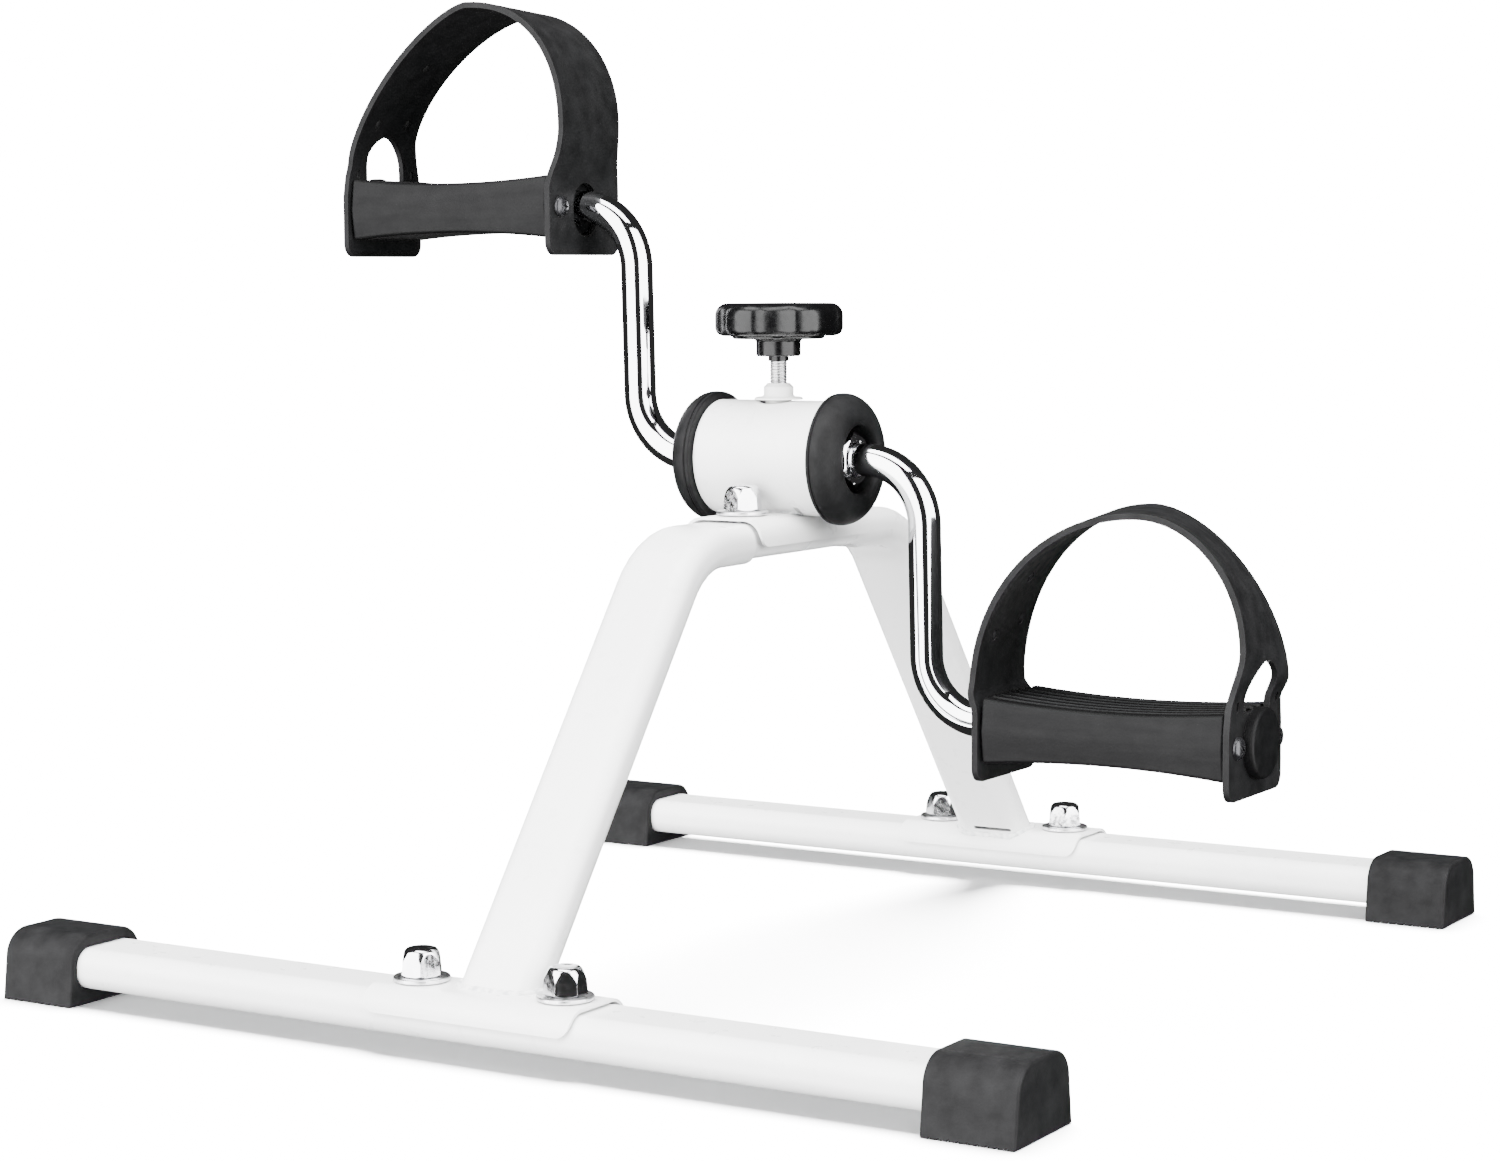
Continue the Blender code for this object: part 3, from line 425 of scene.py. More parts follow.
class Graph:
    """Node graph of one Principled material, worked in the piece's own coordinates."""

    def __init__(self, name, roughness, metallic=0.0, specular=0.5, coat=0.0, coat_roughness=0.05):
        self.material = bpy.data.materials.new(name)
        self.material.use_nodes = True
        self.tree = self.material.node_tree
        self.shader = self.tree.nodes["Principled BSDF"]
        self.shader.inputs["Roughness"].default_value = roughness
        self.shader.inputs["Metallic"].default_value = metallic
        self.shader.inputs["Specular IOR Level"].default_value = specular
        self.shader.inputs["Coat Weight"].default_value = coat
        self.shader.inputs["Coat Roughness"].default_value = coat_roughness
        self.coordinates = self.tree.nodes.new("ShaderNodeTexCoord").outputs["Object"]
        self.normal = None

    def link(self, output, entry):
        self.tree.links.new(output, entry)

    def noise(self, scale, detail=3.0, stretch=(1, 1, 1)):
        mapping = self.tree.nodes.new("ShaderNodeMapping")
        mapping.inputs["Scale"].default_value = stretch
        noise = self.tree.nodes.new("ShaderNodeTexNoise")
        noise.inputs["Scale"].default_value = scale
        noise.inputs["Detail"].default_value = detail
        self.link(self.coordinates, mapping.inputs["Vector"])
        self.link(mapping.outputs["Vector"], noise.inputs["Vector"])
        return noise.outputs["Fac"]

    def cells(self, scale, feature="F1"):
        cells = self.tree.nodes.new("ShaderNodeTexVoronoi")
        cells.feature = feature
        cells.inputs["Scale"].default_value = scale
        self.link(self.coordinates, cells.inputs["Vector"])
        return cells.outputs["Distance"]

    def ramp(self, value, low, high, first, last):
        """Colours from first to last as the value goes from low to high."""
        ramp = self.tree.nodes.new("ShaderNodeValToRGB")
        ramp.color_ramp.elements[0].position = low
        ramp.color_ramp.elements[0].color = (*first, 1)
        ramp.color_ramp.elements[1].position = high
        ramp.color_ramp.elements[1].color = (*last, 1)
        self.link(value, ramp.inputs["Fac"])
        return ramp.outputs["Color"]

    def span(self, value, low, high, first, last):
        """Numbers from first to last as the value goes from low to high."""
        span = self.tree.nodes.new("ShaderNodeMapRange")
        for entry, number in zip(("From Min", "From Max", "To Min", "To Max"), (low, high, first, last)):
            span.inputs[entry].default_value = number
        self.link(value, span.inputs["Value"])
        return span.outputs["Result"]

    def mix(self, share, first, second):
        mix = self.tree.nodes.new("ShaderNodeMix")
        mix.data_type = "RGBA"
        self.link(share, mix.inputs["Factor"])
        for entry, colour in ((mix.inputs[6], first), (mix.inputs[7], second)):
            if isinstance(colour, tuple):
                entry.default_value = (*colour, 1)
            else:
                self.link(colour, entry)
        return mix.outputs[2]

    def edges(self, reach):
        """Near 1 along edges, within reach of them, and 0 on flat ground."""
        rounded = self.tree.nodes.new("ShaderNodeBevel")
        rounded.samples = 6
        rounded.inputs["Radius"].default_value = reach
        geometry = self.tree.nodes.new("ShaderNodeNewGeometry")
        match = self.tree.nodes.new("ShaderNodeVectorMath")
        match.operation = "DOT_PRODUCT"
        self.link(rounded.outputs["Normal"], match.inputs[0])
        self.link(geometry.outputs["Normal"], match.inputs[1])
        return self.span(match.outputs["Value"], 0.99, 0.86, 0.0, 1.0)

    def colour(self, output):
        self.link(output, self.shader.inputs["Base Color"])

    def roughness(self, output):
        self.link(output, self.shader.inputs["Roughness"])

    def bump(self, height, distance, strength=1.0):
        bump = self.tree.nodes.new("ShaderNodeBump")
        bump.inputs["Strength"].default_value = strength
        bump.inputs["Distance"].default_value = distance
        self.link(height, bump.inputs["Height"])
        if self.normal is not None:
            self.link(self.normal, bump.inputs["Normal"])
        self.normal = bump.outputs["Normal"]
        self.link(self.normal, self.shader.inputs["Normal"])


def finish(slot, name, tone, gloss, bumps, edge_tone_and_highlight=None, cells=0, **base):
    """A material, and a slot name that is not used.

    tone and gloss are (noise, low, high, first, last): what colour and roughness run between.
    A bump is (noise, distance, strength). The edge entry is the reach and the colour of edges:
    a painted highlight on the paint, the block and the strap, darker on the rubber, rubbed wear
    on the screws. cells is the scale of a leather-like grain.
    """
    g = Graph(name, **base)
    colour = g.ramp(g.noise(*tone[0]), *tone[1:])
    # Edges take their own colour: a painted highlight on the paint, the block and the strap.
    if edge_tone_and_highlight:
        colour = g.mix(g.edges(edge_tone_and_highlight[0]), colour, edge_tone_and_highlight[1])
    g.colour(colour)
    g.roughness(g.span(g.noise(*gloss[0]), *gloss[1:]))
    if cells:
        g.bump(g.cells(cells), 0.00006, 0.45)
    for noise, distance, strength in bumps:
        g.bump(g.noise(*noise), distance, strength)
    return g.material, slot


# Powder coat: a faint orange peel, slightly uneven tone, and a painted highlight: its edges painted lighter.
PAINT = finish(
    "white_paint", "white_powder_coat", ((18, 4), 0.3, 0.7, (0.80, 0.80, 0.80), (0.86, 0.86, 0.855)),
    ((160, 3), 0.3, 0.7, 0.26, 0.38), [((620, 2), 0.00003, 0.5), ((45, 3), 0.0002, 0.25)],
    edge_tone_and_highlight=(0.8 * MM, (0.88, 0.88, 0.88)), roughness=0.3, specular=0.4, coat=0.25, coat_roughness=0.12)

# The same coat over a weld, duller, and mottled grey in its colour as painted shade.
WELD = finish(
    "white_paint", "weld_coat_with_painted_shade", ((420, 4), 0.34, 0.62, (0.52, 0.53, 0.54), (0.83, 0.83, 0.825)),
    ((300,), 0.3, 0.7, 0.35, 0.55), [((700, 4), 0.0003, 0.6)], roughness=0.42, specular=0.4, coat=0.1)

# Satin moulded rubber with a fine matt grain, a shade darker along its edges.
RUBBER = finish(
    "black_rubber", "black_rubber",
    ((160, 4), 0.3, 0.75, (0.0052, 0.0052, 0.0054), (0.0104, 0.0104, 0.0108)),
    ((90, 4), 0.3, 0.7, 0.42, 0.6), [((1500, 3), 0.00008, 0.5), ((120, 3), 0.0004, 0.2)],
    edge_tone_and_highlight=(0.9 * MM, (0.0034, 0.0034, 0.0036)), roughness=0.5, specular=0.06)

# Pedal block: fine spark-eroded grain with faint flow streaks along its length; its edges are painted lighter
# as a painted highlight.
BLOCK = finish(
    "black_plastic", "black_block_plastic",
    ((260, 3, (0.12, 1, 1)), 0.3, 0.75, (0.0030, 0.0030, 0.0032), (0.0058, 0.0058, 0.006)),
    ((140, 4), 0.3, 0.7, 0.34, 0.5), [((1300, 3), 0.00007, 0.5)],
    edge_tone_and_highlight=(0.4 * MM, (0.018, 0.018, 0.0185)), roughness=0.42, specular=0.065)

# Soft strap plastic with a leather-like moulded grain; its edges are painted lighter as a painted highlight.
STRAP = finish(
    "strap_plastic", "black_strap_plastic",
    ((140, 4), 0.3, 0.75, (0.0058, 0.0058, 0.0060), (0.0115, 0.0115, 0.0119)),
    ((200, 3), 0.3, 0.7, 0.38, 0.55), [((320, 4), 0.00012, 0.35)],
    edge_tone_and_highlight=(0.4 * MM, (0.016, 0.016, 0.0165)), cells=1100, roughness=0.45, specular=0.06)

# Glossy hard knob with faint sink marks and fine handling scuffs.
KNOB = finish(
    "knob_plastic", "gloss_black_knob",
    ((90, 4), 0.3, 0.8, (0.0015, 0.0015, 0.0017), (0.0030, 0.0030, 0.0032)),
    ((500, 5), 0.4, 0.75, 0.20, 0.36), [((60, 2), 0.0003, 0.25)], roughness=0.2, specular=0.25)

# Translucent-looking white nylon, slightly yellowed.
NYLON = finish(
    "white_plastic", "white_nylon", ((150, 3), 0.3, 0.7, (0.74, 0.74, 0.72), (0.84, 0.84, 0.83)),
    ((400,), 0.3, 0.7, 0.3, 0.46), [((900,), 0.00005, 0.4)], roughness=0.38, specular=0.45)

# Bright chrome with a breath of haze and lengthwise polishing lines.
CHROME = finish(
    "chrome", "bright_chrome", ((30, 3), 0.3, 0.7, (0.80, 0.81, 0.83), (0.90, 0.905, 0.92)),
    ((260, 5, (1, 1, 0.2)), 0.35, 0.8, 0.03, 0.11), [((24, 2), 0.0004, 0.18)],
    roughness=0.05, metallic=1.0)

# Nickel-bright plating, a little softer than the cranks.
NUT = finish(
    "chrome", "plated_nut", ((300, 3), 0.3, 0.7, (0.74, 0.74, 0.76), (0.88, 0.88, 0.90)),
    ((700, 4), 0.35, 0.75, 0.07, 0.2), [((260, 3), 0.0002, 0.3)], roughness=0.12, metallic=1.0)

# Satin zinc of the plain washers.
WASHER = finish(
    "chrome", "satin_zinc", ((420, 4), 0.3, 0.7, (0.60, 0.60, 0.61), (0.78, 0.78, 0.79)),
    ((900, 4), 0.3, 0.7, 0.24, 0.42), [((1100, 3), 0.00006, 0.5)], roughness=0.3, metallic=1.0)

# Bare turned steel with fine tool marks.
STEEL = finish(
    "steel", "turned_steel", ((240, 4), 0.3, 0.7, (0.50, 0.50, 0.51), (0.70, 0.70, 0.71)),
    ((900, 3, (1, 1, 3)), 0.3, 0.7, 0.2, 0.38), [((1400, 2), 0.00004, 0.5)],
    roughness=0.28, metallic=1.0)

# Blackened screw heads, rubbed brighter on their crowns.
BLACK_STEEL = finish(
    "black_steel", "black_oxide_screw",
    ((500, 4), 0.3, 0.7, (0.016, 0.016, 0.018), (0.035, 0.035, 0.038)), ((900,), 0.3, 0.7, 0.18, 0.36),
    [((1200,), 0.00004, 0.4)], edge_tone_and_highlight=(0.4 * MM, (0.09, 0.09, 0.095)),
    roughness=0.25, metallic=0.6, specular=0.5)

# Pressed felt of the brake lining.
FELT = finish(
    "felt", "brake_felt", ((900, 6), 0.3, 0.7, (0.16, 0.15, 0.13), (0.34, 0.32, 0.28)),
    ((1200,), 0.3, 0.7, 0.85, 1.0), [((2200, 5), 0.0003, 0.8)], roughness=0.95, specular=0.2)


# ---------------------------------------------------------------- base

def foot_cap_mesh():
    """Foot cap along +X from its open face: rounded shoulders and a ribbed underside."""
    half, corner = FOOT_WIDTH / 2, 10 * MM
    shoulder = half - 1.6 * MM
    outline = [(half, 0), (shoulder, FOOT_HEIGHT - corner)]
    outline += arc((shoulder - corner, FOOT_HEIGHT - corner), corner, 12, 90, 12)
    outline += [(-x, y) for x, y in reversed(outline)]
    block = moved(prism(outline, 0, FOOT_LENGTH, rounding=0.9 * MM), OUTLINE_TO_YZ)
    inside = BAR_HALF - FOOT_IN + GAP
    rings = [[Vector((x, y, BAR_Z + z)) for y, z in flat_oval(GAP)] for x in (-MM, inside)]
    ribs = []
    pitch, depth = 3.2 * MM, 0.45 * MM
    for i in range(int(FOOT_LENGTH / pitch) - 1):
        x = (i + 1) * pitch
        vee = [(x - 0.7 * MM, -MM), (x + 0.7 * MM, -MM), (x + 0.4 * MM, depth), (x - 0.4 * MM, depth)]
        ribs.append(moved(prism(vee, -half - MM, half + MM), Matrix.Rotation(math.pi / 2, 4, "X")))
    return cut(block, lofted(rings), joined(*ribs))


def u_sheet(length, drop):
    """Pressed sheet over the top of a tube that runs along X, with rounded lower corners."""
    grow = GAP + SHEET
    top = TUBE_HEIGHT / 2 + grow
    rings = [[Vector((x, y, z)) for y, z in flat_oval(grow)] for x in (-length / 2, length / 2)]
    sheet = lofted(rings, SHEET_WALL)
    edge = top - drop
    x, corner = length / 2, SADDLE_CORNER
    side = [(x + MM, top + MM), (-x - MM, top + MM)]
    side += [(-x - MM, edge + corner), (-x, edge + corner)]
    side += arc((corner - x, edge + corner), corner, 180, 270, 8)
    side += arc((x - corner, edge + corner), corner, 270, 360, 8)
    side += [(x + MM, edge + corner)]
    keep = moved(prism(side, -TUBE_WIDTH, TUBE_WIDTH), Matrix.Rotation(math.pi / 2, 4, "X"))
    return combined(sheet, [keep], "INTERSECT")


def washer_mesh():
    """Plain washer with rolled edges; its origin is the centre of the tube below it."""
    low = TUBE_HEIGHT / 2 + GAP + SHEET + GAP
    top, edge = low + WASHER_THICKNESS, 0.5 * MM
    profile = [(STUD_RADIUS + GAP, top)]
    profile += arc((WASHER_RADIUS - edge, top - edge), edge, 90, 0, 4)
    profile += arc((WASHER_RADIUS - edge, low + edge), edge, 0, -90, 4)
    profile += [(STUD_RADIUS + GAP, low)]
    return turned(profile, ring=True)


def cap_nut_mesh():
    """Closed nut with tapering flanks, a scalloped crown and a shallow dished top."""
    low = TUBE_HEIGHT / 2 + GAP + SHEET + GAP + WASHER_THICKNESS + GAP
    top = low + NUT_HEIGHT
    corner = NUT_ACROSS_FLATS / math.sqrt(3)
    rings = []
    for height, flats in ((low - MM, NUT_ACROSS_FLATS), (top + MM, NUT_TOP_FLATS)):
        rings.append([Vector((x, y, height)) for x, y in hexagon(flats)])
    profile = [(0, top - 0.7 * MM), (2.6 * MM, top - 0.6 * MM), (3.7 * MM, top - 0.15 * MM)]
    profile += [(4.3 * MM, top), (4.9 * MM, top - 0.2 * MM), (5.5 * MM, top - 0.8 * MM)]
    profile += [(6.1 * MM, top - 2.0 * MM), (6.7 * MM, top - 3.6 * MM), (corner, top - 6.2 * MM)]
    profile += [(corner, low + 0.7 * MM), (corner - 0.9 * MM, low), (0, low)]
    return bevelled(combined(turned(profile, 72), [lofted(rings)], "INTERSECT"), 0.18 * MM, 2, 30)


def base_bar_mesh():
    rings = [[Vector((x, y, z)) for y, z in flat_oval()] for x in (-BAR_HALF, BAR_HALF)]
    return lofted(rings, TUBE_WALL)


def build_base():
    bar, foot, washer, nut = base_bar_mesh(), foot_cap_mesh(), washer_mesh(), cap_nut_mesh()
    saddle = bevelled(u_sheet(SADDLE_LENGTH, SADDLE_DROP), 0.45 * MM, 3)
    for end, direction in (("front", -1), ("rear", 1)):
        line = Matrix.Translation((0, direction * BASE_HALF_SPACING, 0))
        centre = line @ Matrix.Translation((0, 0, BAR_Z))
        show(f"{end}_bar", bar, "frame", PAINT, [f"{end}_base_bar"], centre)
        show(f"{end}_saddle_press", saddle, "frame", PAINT, [f"{end}_saddle"], centre)
        for side, way in (("left", -1), ("right", 1)):
            turn = HALF_TURN if way < 0 else UNMOVED
            spot = line @ turn @ Matrix.Translation((FOOT_IN, 0, 0))
            show(f"{end}_{side}_foot", foot, "frame", RUBBER, [f"{end}_{side}_foot_cap"], spot)
            spin = Matrix.Rotation(math.radians(17 * way + 40 * direction), 4, "Z")
            bolt = centre @ Matrix.Translation((way * BASE_BOLT_X, 0, 0)) @ spin
            show(f"{end}_{side}_washer", washer, "frame", WASHER, [f"{end}_{side}_base_washer"], bolt)
            show(f"{end}_{side}_nut", nut, "frame", NUT, [f"{end}_{side}_base_nut"], bolt)


# ---------------------------------------------------------------- legs and bracket

def leg_path():
    crest = Vector((0, -LEG_SHOULDER_Y, LEG_TOP_Z))
    foot = Vector((0, -BASE_HALF_SPACING, BAR_Z))
    swage_z = LEG_TOP_Z + TUBE_HEIGHT / 2 * (1 - SWAGE_SCALE)
    swage = [Vector((0, -GAP, swage_z)), Vector((0, -SWAGE_Y + MM, swage_z))]
    shoulder = Vector((0, -SWAGE_Y - 2 * MM, LEG_TOP_Z))
    return swage + filleted([shoulder, crest, foot], LEG_BEND)


def leg_mesh(slot):
    """Front leg in place: level under the hub, then bent down to its saddle.

    The inside of the bend is faintly crumpled, as pressed tube is. With slot, the foot's
    face has the gap that its weld leaves open.
    """
    path = leg_path()
    rings = []
    for i, centre in enumerate(path):
        ahead = path[min(i + 1, len(path) - 1)] - centre
        behind = centre - path[max(i - 1, 0)]
        along = (ahead.normalized() + behind.normalized()).normalized()
        across = along.cross(Vector((1, 0, 0)))
        scale = SWAGE_SCALE if i < 2 else 1.0
        in_bend = 3 <= i <= len(path) - 3
        ripple = 0.16 * MM * math.sin(i * 1.9) if in_bend else 0.0
        ring = []
        for x, y in flat_oval():
            dent = ripple * math.cos(x / TUBE_WIDTH * 5)
            ring.append(centre + Vector((x * scale, 0, 0)) + across * (y * scale + dent))
        rings.append(ring)
    leg = lofted(rings, TUBE_WALL)
    foot = path[-1]
    reach = TUBE_WIDTH
    clearance = flat_oval(GAP + SHEET + GAP / 2)
    cutters = [lofted([[foot + Vector((x, y, z)) for y, z in clearance] for x in (-reach, reach)])]
    if slot:
        saddle_top = BAR_Z + TUBE_HEIGHT / 2 + GAP + SHEET
        outline = rounded_rectangle(17 * MM, 1.4 * MM, 0.5 * MM, 3)
        gap = moved(prism(outline, 0, 16 * MM), Matrix.Rotation(-math.pi / 2, 4, "X"))
        spot = Matrix.Translation((-3 * MM, foot.y + 2 * MM, saddle_top + 0.5 * MM))
        cutters.append(moved(gap, spot))
    return cut(leg, *cutters)


def outside_saddle(y, z):
    """Distance of a (y, z) point, from the bar's centre, outside the saddle's sheet."""
    grow = GAP + SHEET
    side_y = abs(y) - (TUBE_WIDTH / 2 - TUBE_CORNER)
    side_z = abs(z) - (TUBE_HEIGHT / 2 - TUBE_CORNER)
    outer = math.hypot(max(side_y, 0), max(side_z, 0))
    return outer + min(max(side_y, side_z), 0) - TUBE_CORNER - grow


def leg_weld_mesh():
    """Bead where the front leg meets its saddle, laid on the saddle's surface."""
    path = leg_path()
    foot = path[-1]
    down = (foot - path[-2]).normalized()
    across = down.cross(Vector((1, 0, 0)))
    line = []
    for x, y in flat_oval(0.4 * MM, steps=10):
        low, high = -30 * MM, 12 * MM
        start = foot + Vector((x, 0, 0)) + across * y
        for _ in range(24):
            half = (low + high) / 2
            point = start + down * half
            if outside_saddle(point.y - foot.y, point.z - foot.z) > 0:
                low = half
            else:
                high = half
        line.append(start + down * low)
    smooth = []
    for first, second in zip(line, line[1:] + line[:1]):
        count = max(1, round((second - first).length / (1.2 * MM)))
        smooth += [first.lerp(second, k / count) for k in range(count)]
    return bead(smooth, 1.25 * MM, closed=True)


def bracket_mesh():
    sheet = moved(u_sheet(BRACKET_LENGTH, BRACKET_DROP), Matrix.Rotation(math.pi / 2, 4, "Z"))
    cradle = rod(HOUSING_RADIUS + GAP, -TUBE_WIDTH, TUBE_WIDTH, steps=96)
    cradle = moved(cradle, TURN_TO_X, Matrix.Translation((0, 0, HUB_Z - LEG_TOP_Z)))
    return bevelled(cut(sheet, cradle), 0.4 * MM, 3)


def bracket_weld_mesh(direction):
    """Bead along the foot of the housing, on one side of it."""
    top = LEG_TOP_Z + TUBE_HEIGHT / 2 + GAP + SHEET
    y = math.sqrt(HOUSING_RADIUS ** 2 - (HUB_Z - top) ** 2) + 0.7 * MM
    line = []
    for i in range(25):
        x = (i / 24 - 0.5) * 27 * MM
        line.append(Vector((x, direction * y, top + 0.25 * MM)))
    return bead(line, 1.3 * MM, ripple=0.3)


def build_legs():
    show("front_leg_tube", leg_mesh(False), "frame", PAINT, ["front_leg"])
    rear = moved(leg_mesh(True), HALF_TURN)
    show("rear_leg_tube", rear, "frame", PAINT, ["rear_leg"])
    weld = leg_weld_mesh()
    show("front_leg_weld", weld, "frame", WELD)
    show("rear_leg_weld", weld, "frame", WELD, place=HALF_TURN)
    top = Matrix.Translation((0, 0, LEG_TOP_Z))
    show("hub_bracket_press", bracket_mesh(), "frame", PAINT, ["hub_bracket"], top)
    washer, nut = washer_mesh(), cap_nut_mesh()
    for end, direction in (("front", -1), ("rear", 1)):
        show(f"{end}_bracket_weld", cut(bracket_weld_mesh(direction), vent_mesh(0)), "frame", WELD)
        spin = Matrix.Rotation(math.radians(12 * direction), 4, "Z")
        bolt = top @ Matrix.Translation((0, direction * BRACKET_BOLT_Y, 0)) @ spin
        show(f"{end}_hub_washer", washer, "frame", WASHER, [f"{end}_bracket_washer"], bolt)
        show(f"{end}_hub_nut", nut, "frame", NUT, [f"{end}_bracket_nut"], bolt)


# ---------------------------------------------------------------- hub

def vent_mesh(shift_z):
    """Cutter of the small round hole low on the housing's front, beside the weld."""
    lean = Matrix.Rotation(math.radians(65), 4, "X")
    spot = Matrix.Translation((14 * MM, -8.4 * MM, 167.6 * MM + shift_z))
    return moved(rod(1.1 * MM, -4 * MM, 4 * MM, 20), lean, spot)


def housing_mesh():
    inner, edge = HOUSING_RADIUS - HOUSING_WALL, 0.4 * MM
    profile = [(HOUSING_RADIUS - edge, HOUSING_HALF), (HOUSING_RADIUS, HOUSING_HALF - edge)]
    profile += [(HOUSING_RADIUS, edge - HOUSING_HALF), (HOUSING_RADIUS - edge, -HOUSING_HALF)]
    profile += [(inner, -HOUSING_HALF), (inner, HOUSING_HALF)]
    tube = moved(turned(profile, 128, ring=True), TURN_TO_X)
    return cut(tube, rod(SCREW_HOLE, HOUSING_RADIUS / 2, HOUSING_RADIUS + MM), vent_mesh(-HUB_Z))


def hub_cap_mesh():
    """Rubber end cap for the +X end: a fat rounded ring, a thin rim line and a recess."""
    plug = HOUSING_RADIUS - HOUSING_WALL - GAP
    rim_x = HOUSING_HALF + GAP
    bulge_x = rim_x + 2.4 * MM
    ring_radius = 15 * MM
    lip = 0.7 * MM
    profile = [(RECESS_RADIUS, CAP_FACE_X - 2.2 * MM)]
    profile += arc((RECESS_RADIUS + 2 * MM, CAP_FACE_X - 2.2 * MM), 2 * MM, 180, 100, 5)
    for i in range(17):
        angle = math.radians(2 + i * 5.5)
        radius = ring_radius + (CAP_RADIUS - ring_radius) * math.sin(angle)
        profile.append((radius, bulge_x + (CAP_FACE_X - bulge_x) * math.cos(angle)))
    profile += [(CAP_RADIUS, bulge_x - 0.3 * MM), (CAP_RADIUS - lip * 0.6, bulge_x - 0.7 * MM)]
    profile += [(CAP_RADIUS - lip * 0.1, bulge_x - 1.1 * MM), (CAP_RADIUS - lip * 0.3, rim_x + 0.3 * MM)]
    profile += [(CAP_RADIUS - lip, rim_x), (plug, rim_x), (plug, BUSH_OUTER_X + GAP)]
    profile += [(plug - 2 * MM, BUSH_OUTER_X + GAP), (plug - 2 * MM, rim_x - MM)]
    bore = SPINDLE_RADIUS + MM
    profile += [(bore, rim_x - MM), (bore, RECESS_FLOOR_X), (RECESS_RADIUS, RECESS_FLOOR_X)]
    return moved(turned(profile, 96, ring=True), TURN_TO_X)


def lock_nut_mesh():
    low = SPINDLE_HALF + 1.4 * MM
    top = low + LOCK_NUT_THICKNESS
    corner = LOCK_NUT_FLATS / math.sqrt(3)
    flat = LOCK_NUT_FLATS / 2
    bore = ROD_RADIUS + GAP
    profile = [(bore, top - 0.6 * MM), (bore + 0.8 * MM, top), (flat - 0.3 * MM, top)]
    profile += [(corner, top - 1.3 * MM), (corner, low + 1.3 * MM), (flat, low), (bore, low)]
    body = turned(profile, 72, ring=True)
    blank = prism(hexagon(LOCK_NUT_FLATS), low - MM, top + MM)
    return moved(combined(body, [blank], "INTERSECT"), TURN_TO_X)


def screw_bush_mesh():
    """White bush: a flange on the housing, a chamfered neck and a spigot through the wall."""
    bore = THREAD_RADIUS + 0.25 * MM
    seat = HUB_Z + HOUSING_RADIUS + GAP
    spigot, neck, chamfer = 4.9 * MM, 5.5 * MM, 1.4 * MM
    profile = [(bore, BUSH_HIGH - 0.5 * MM), (bore + 0.5 * MM, BUSH_HIGH), (neck - chamfer, BUSH_HIGH)]
    profile += [(neck, BUSH_HIGH - chamfer), (neck, seat + 2.0 * MM)]
    profile += arc((neck + 0.9 * MM, seat + 2.0 * MM), 0.9 * MM, 180, 270, 4)
    profile += [(8.2 * MM, seat + 0.9 * MM), (8.8 * MM, seat + 0.6 * MM), (9 * MM, seat), (spigot, seat)]
    profile += [(spigot, BUSH_LOW), (bore, BUSH_LOW)]
    return turned(profile, 40, ring=True)


def build_hub():
    centre = Matrix.Translation((0, 0, HUB_Z))
    show("hub_shell", housing_mesh(), "frame", PAINT, ["hub_housing"], centre)
    cap, nut = hub_cap_mesh(), lock_nut_mesh()
    lean = centre @ Matrix.Rotation(CRANK_ANGLE, 4, "X")
    upside_down = Matrix.Rotation(math.pi, 4, "Y")
    for side, turn, spin in (("left", HALF_TURN, upside_down), ("right", UNMOVED, UNMOVED)):
        show(f"{side}_cap_ring", cap, "frame", RUBBER, [f"{side}_hub_cap"], centre @ turn)
        show(f"{side}_crank_nut", nut, "crank", NUT, [f"{side}_lock_nut"], lean @ spin)
    show("screw_bush_neck", screw_bush_mesh(), "frame", NYLON, ["screw_bush"], smooth_angle=25)


# ---------------------------------------------------------------- knob and screw

def knob_outline():
    """(x, y) round the star: convex lobes and concave valleys that meet in a crisp line."""
    half = math.pi / KNOB_LOBES / 2
    steps = 10
    points = []
    for i in range(2 * KNOB_LOBES):
        middle_angle = KNOB_VALLEY + i * 2 * half
        for k in range(steps):
            swing = -half + 2 * half * k / steps
            if i % 2:
                reach = LOBE_CENTRE * math.cos(swing)
                radius = reach + math.sqrt(LOBE_ARC ** 2 - (LOBE_CENTRE * math.sin(swing)) ** 2)
            else:
                reach = VALLEY_CENTRE * math.cos(swing)
                radius = reach - math.sqrt(VALLEY_ARC ** 2 - (VALLEY_CENTRE * math.sin(swing)) ** 2)
            points.append((radius, middle_angle + swing))
    return points


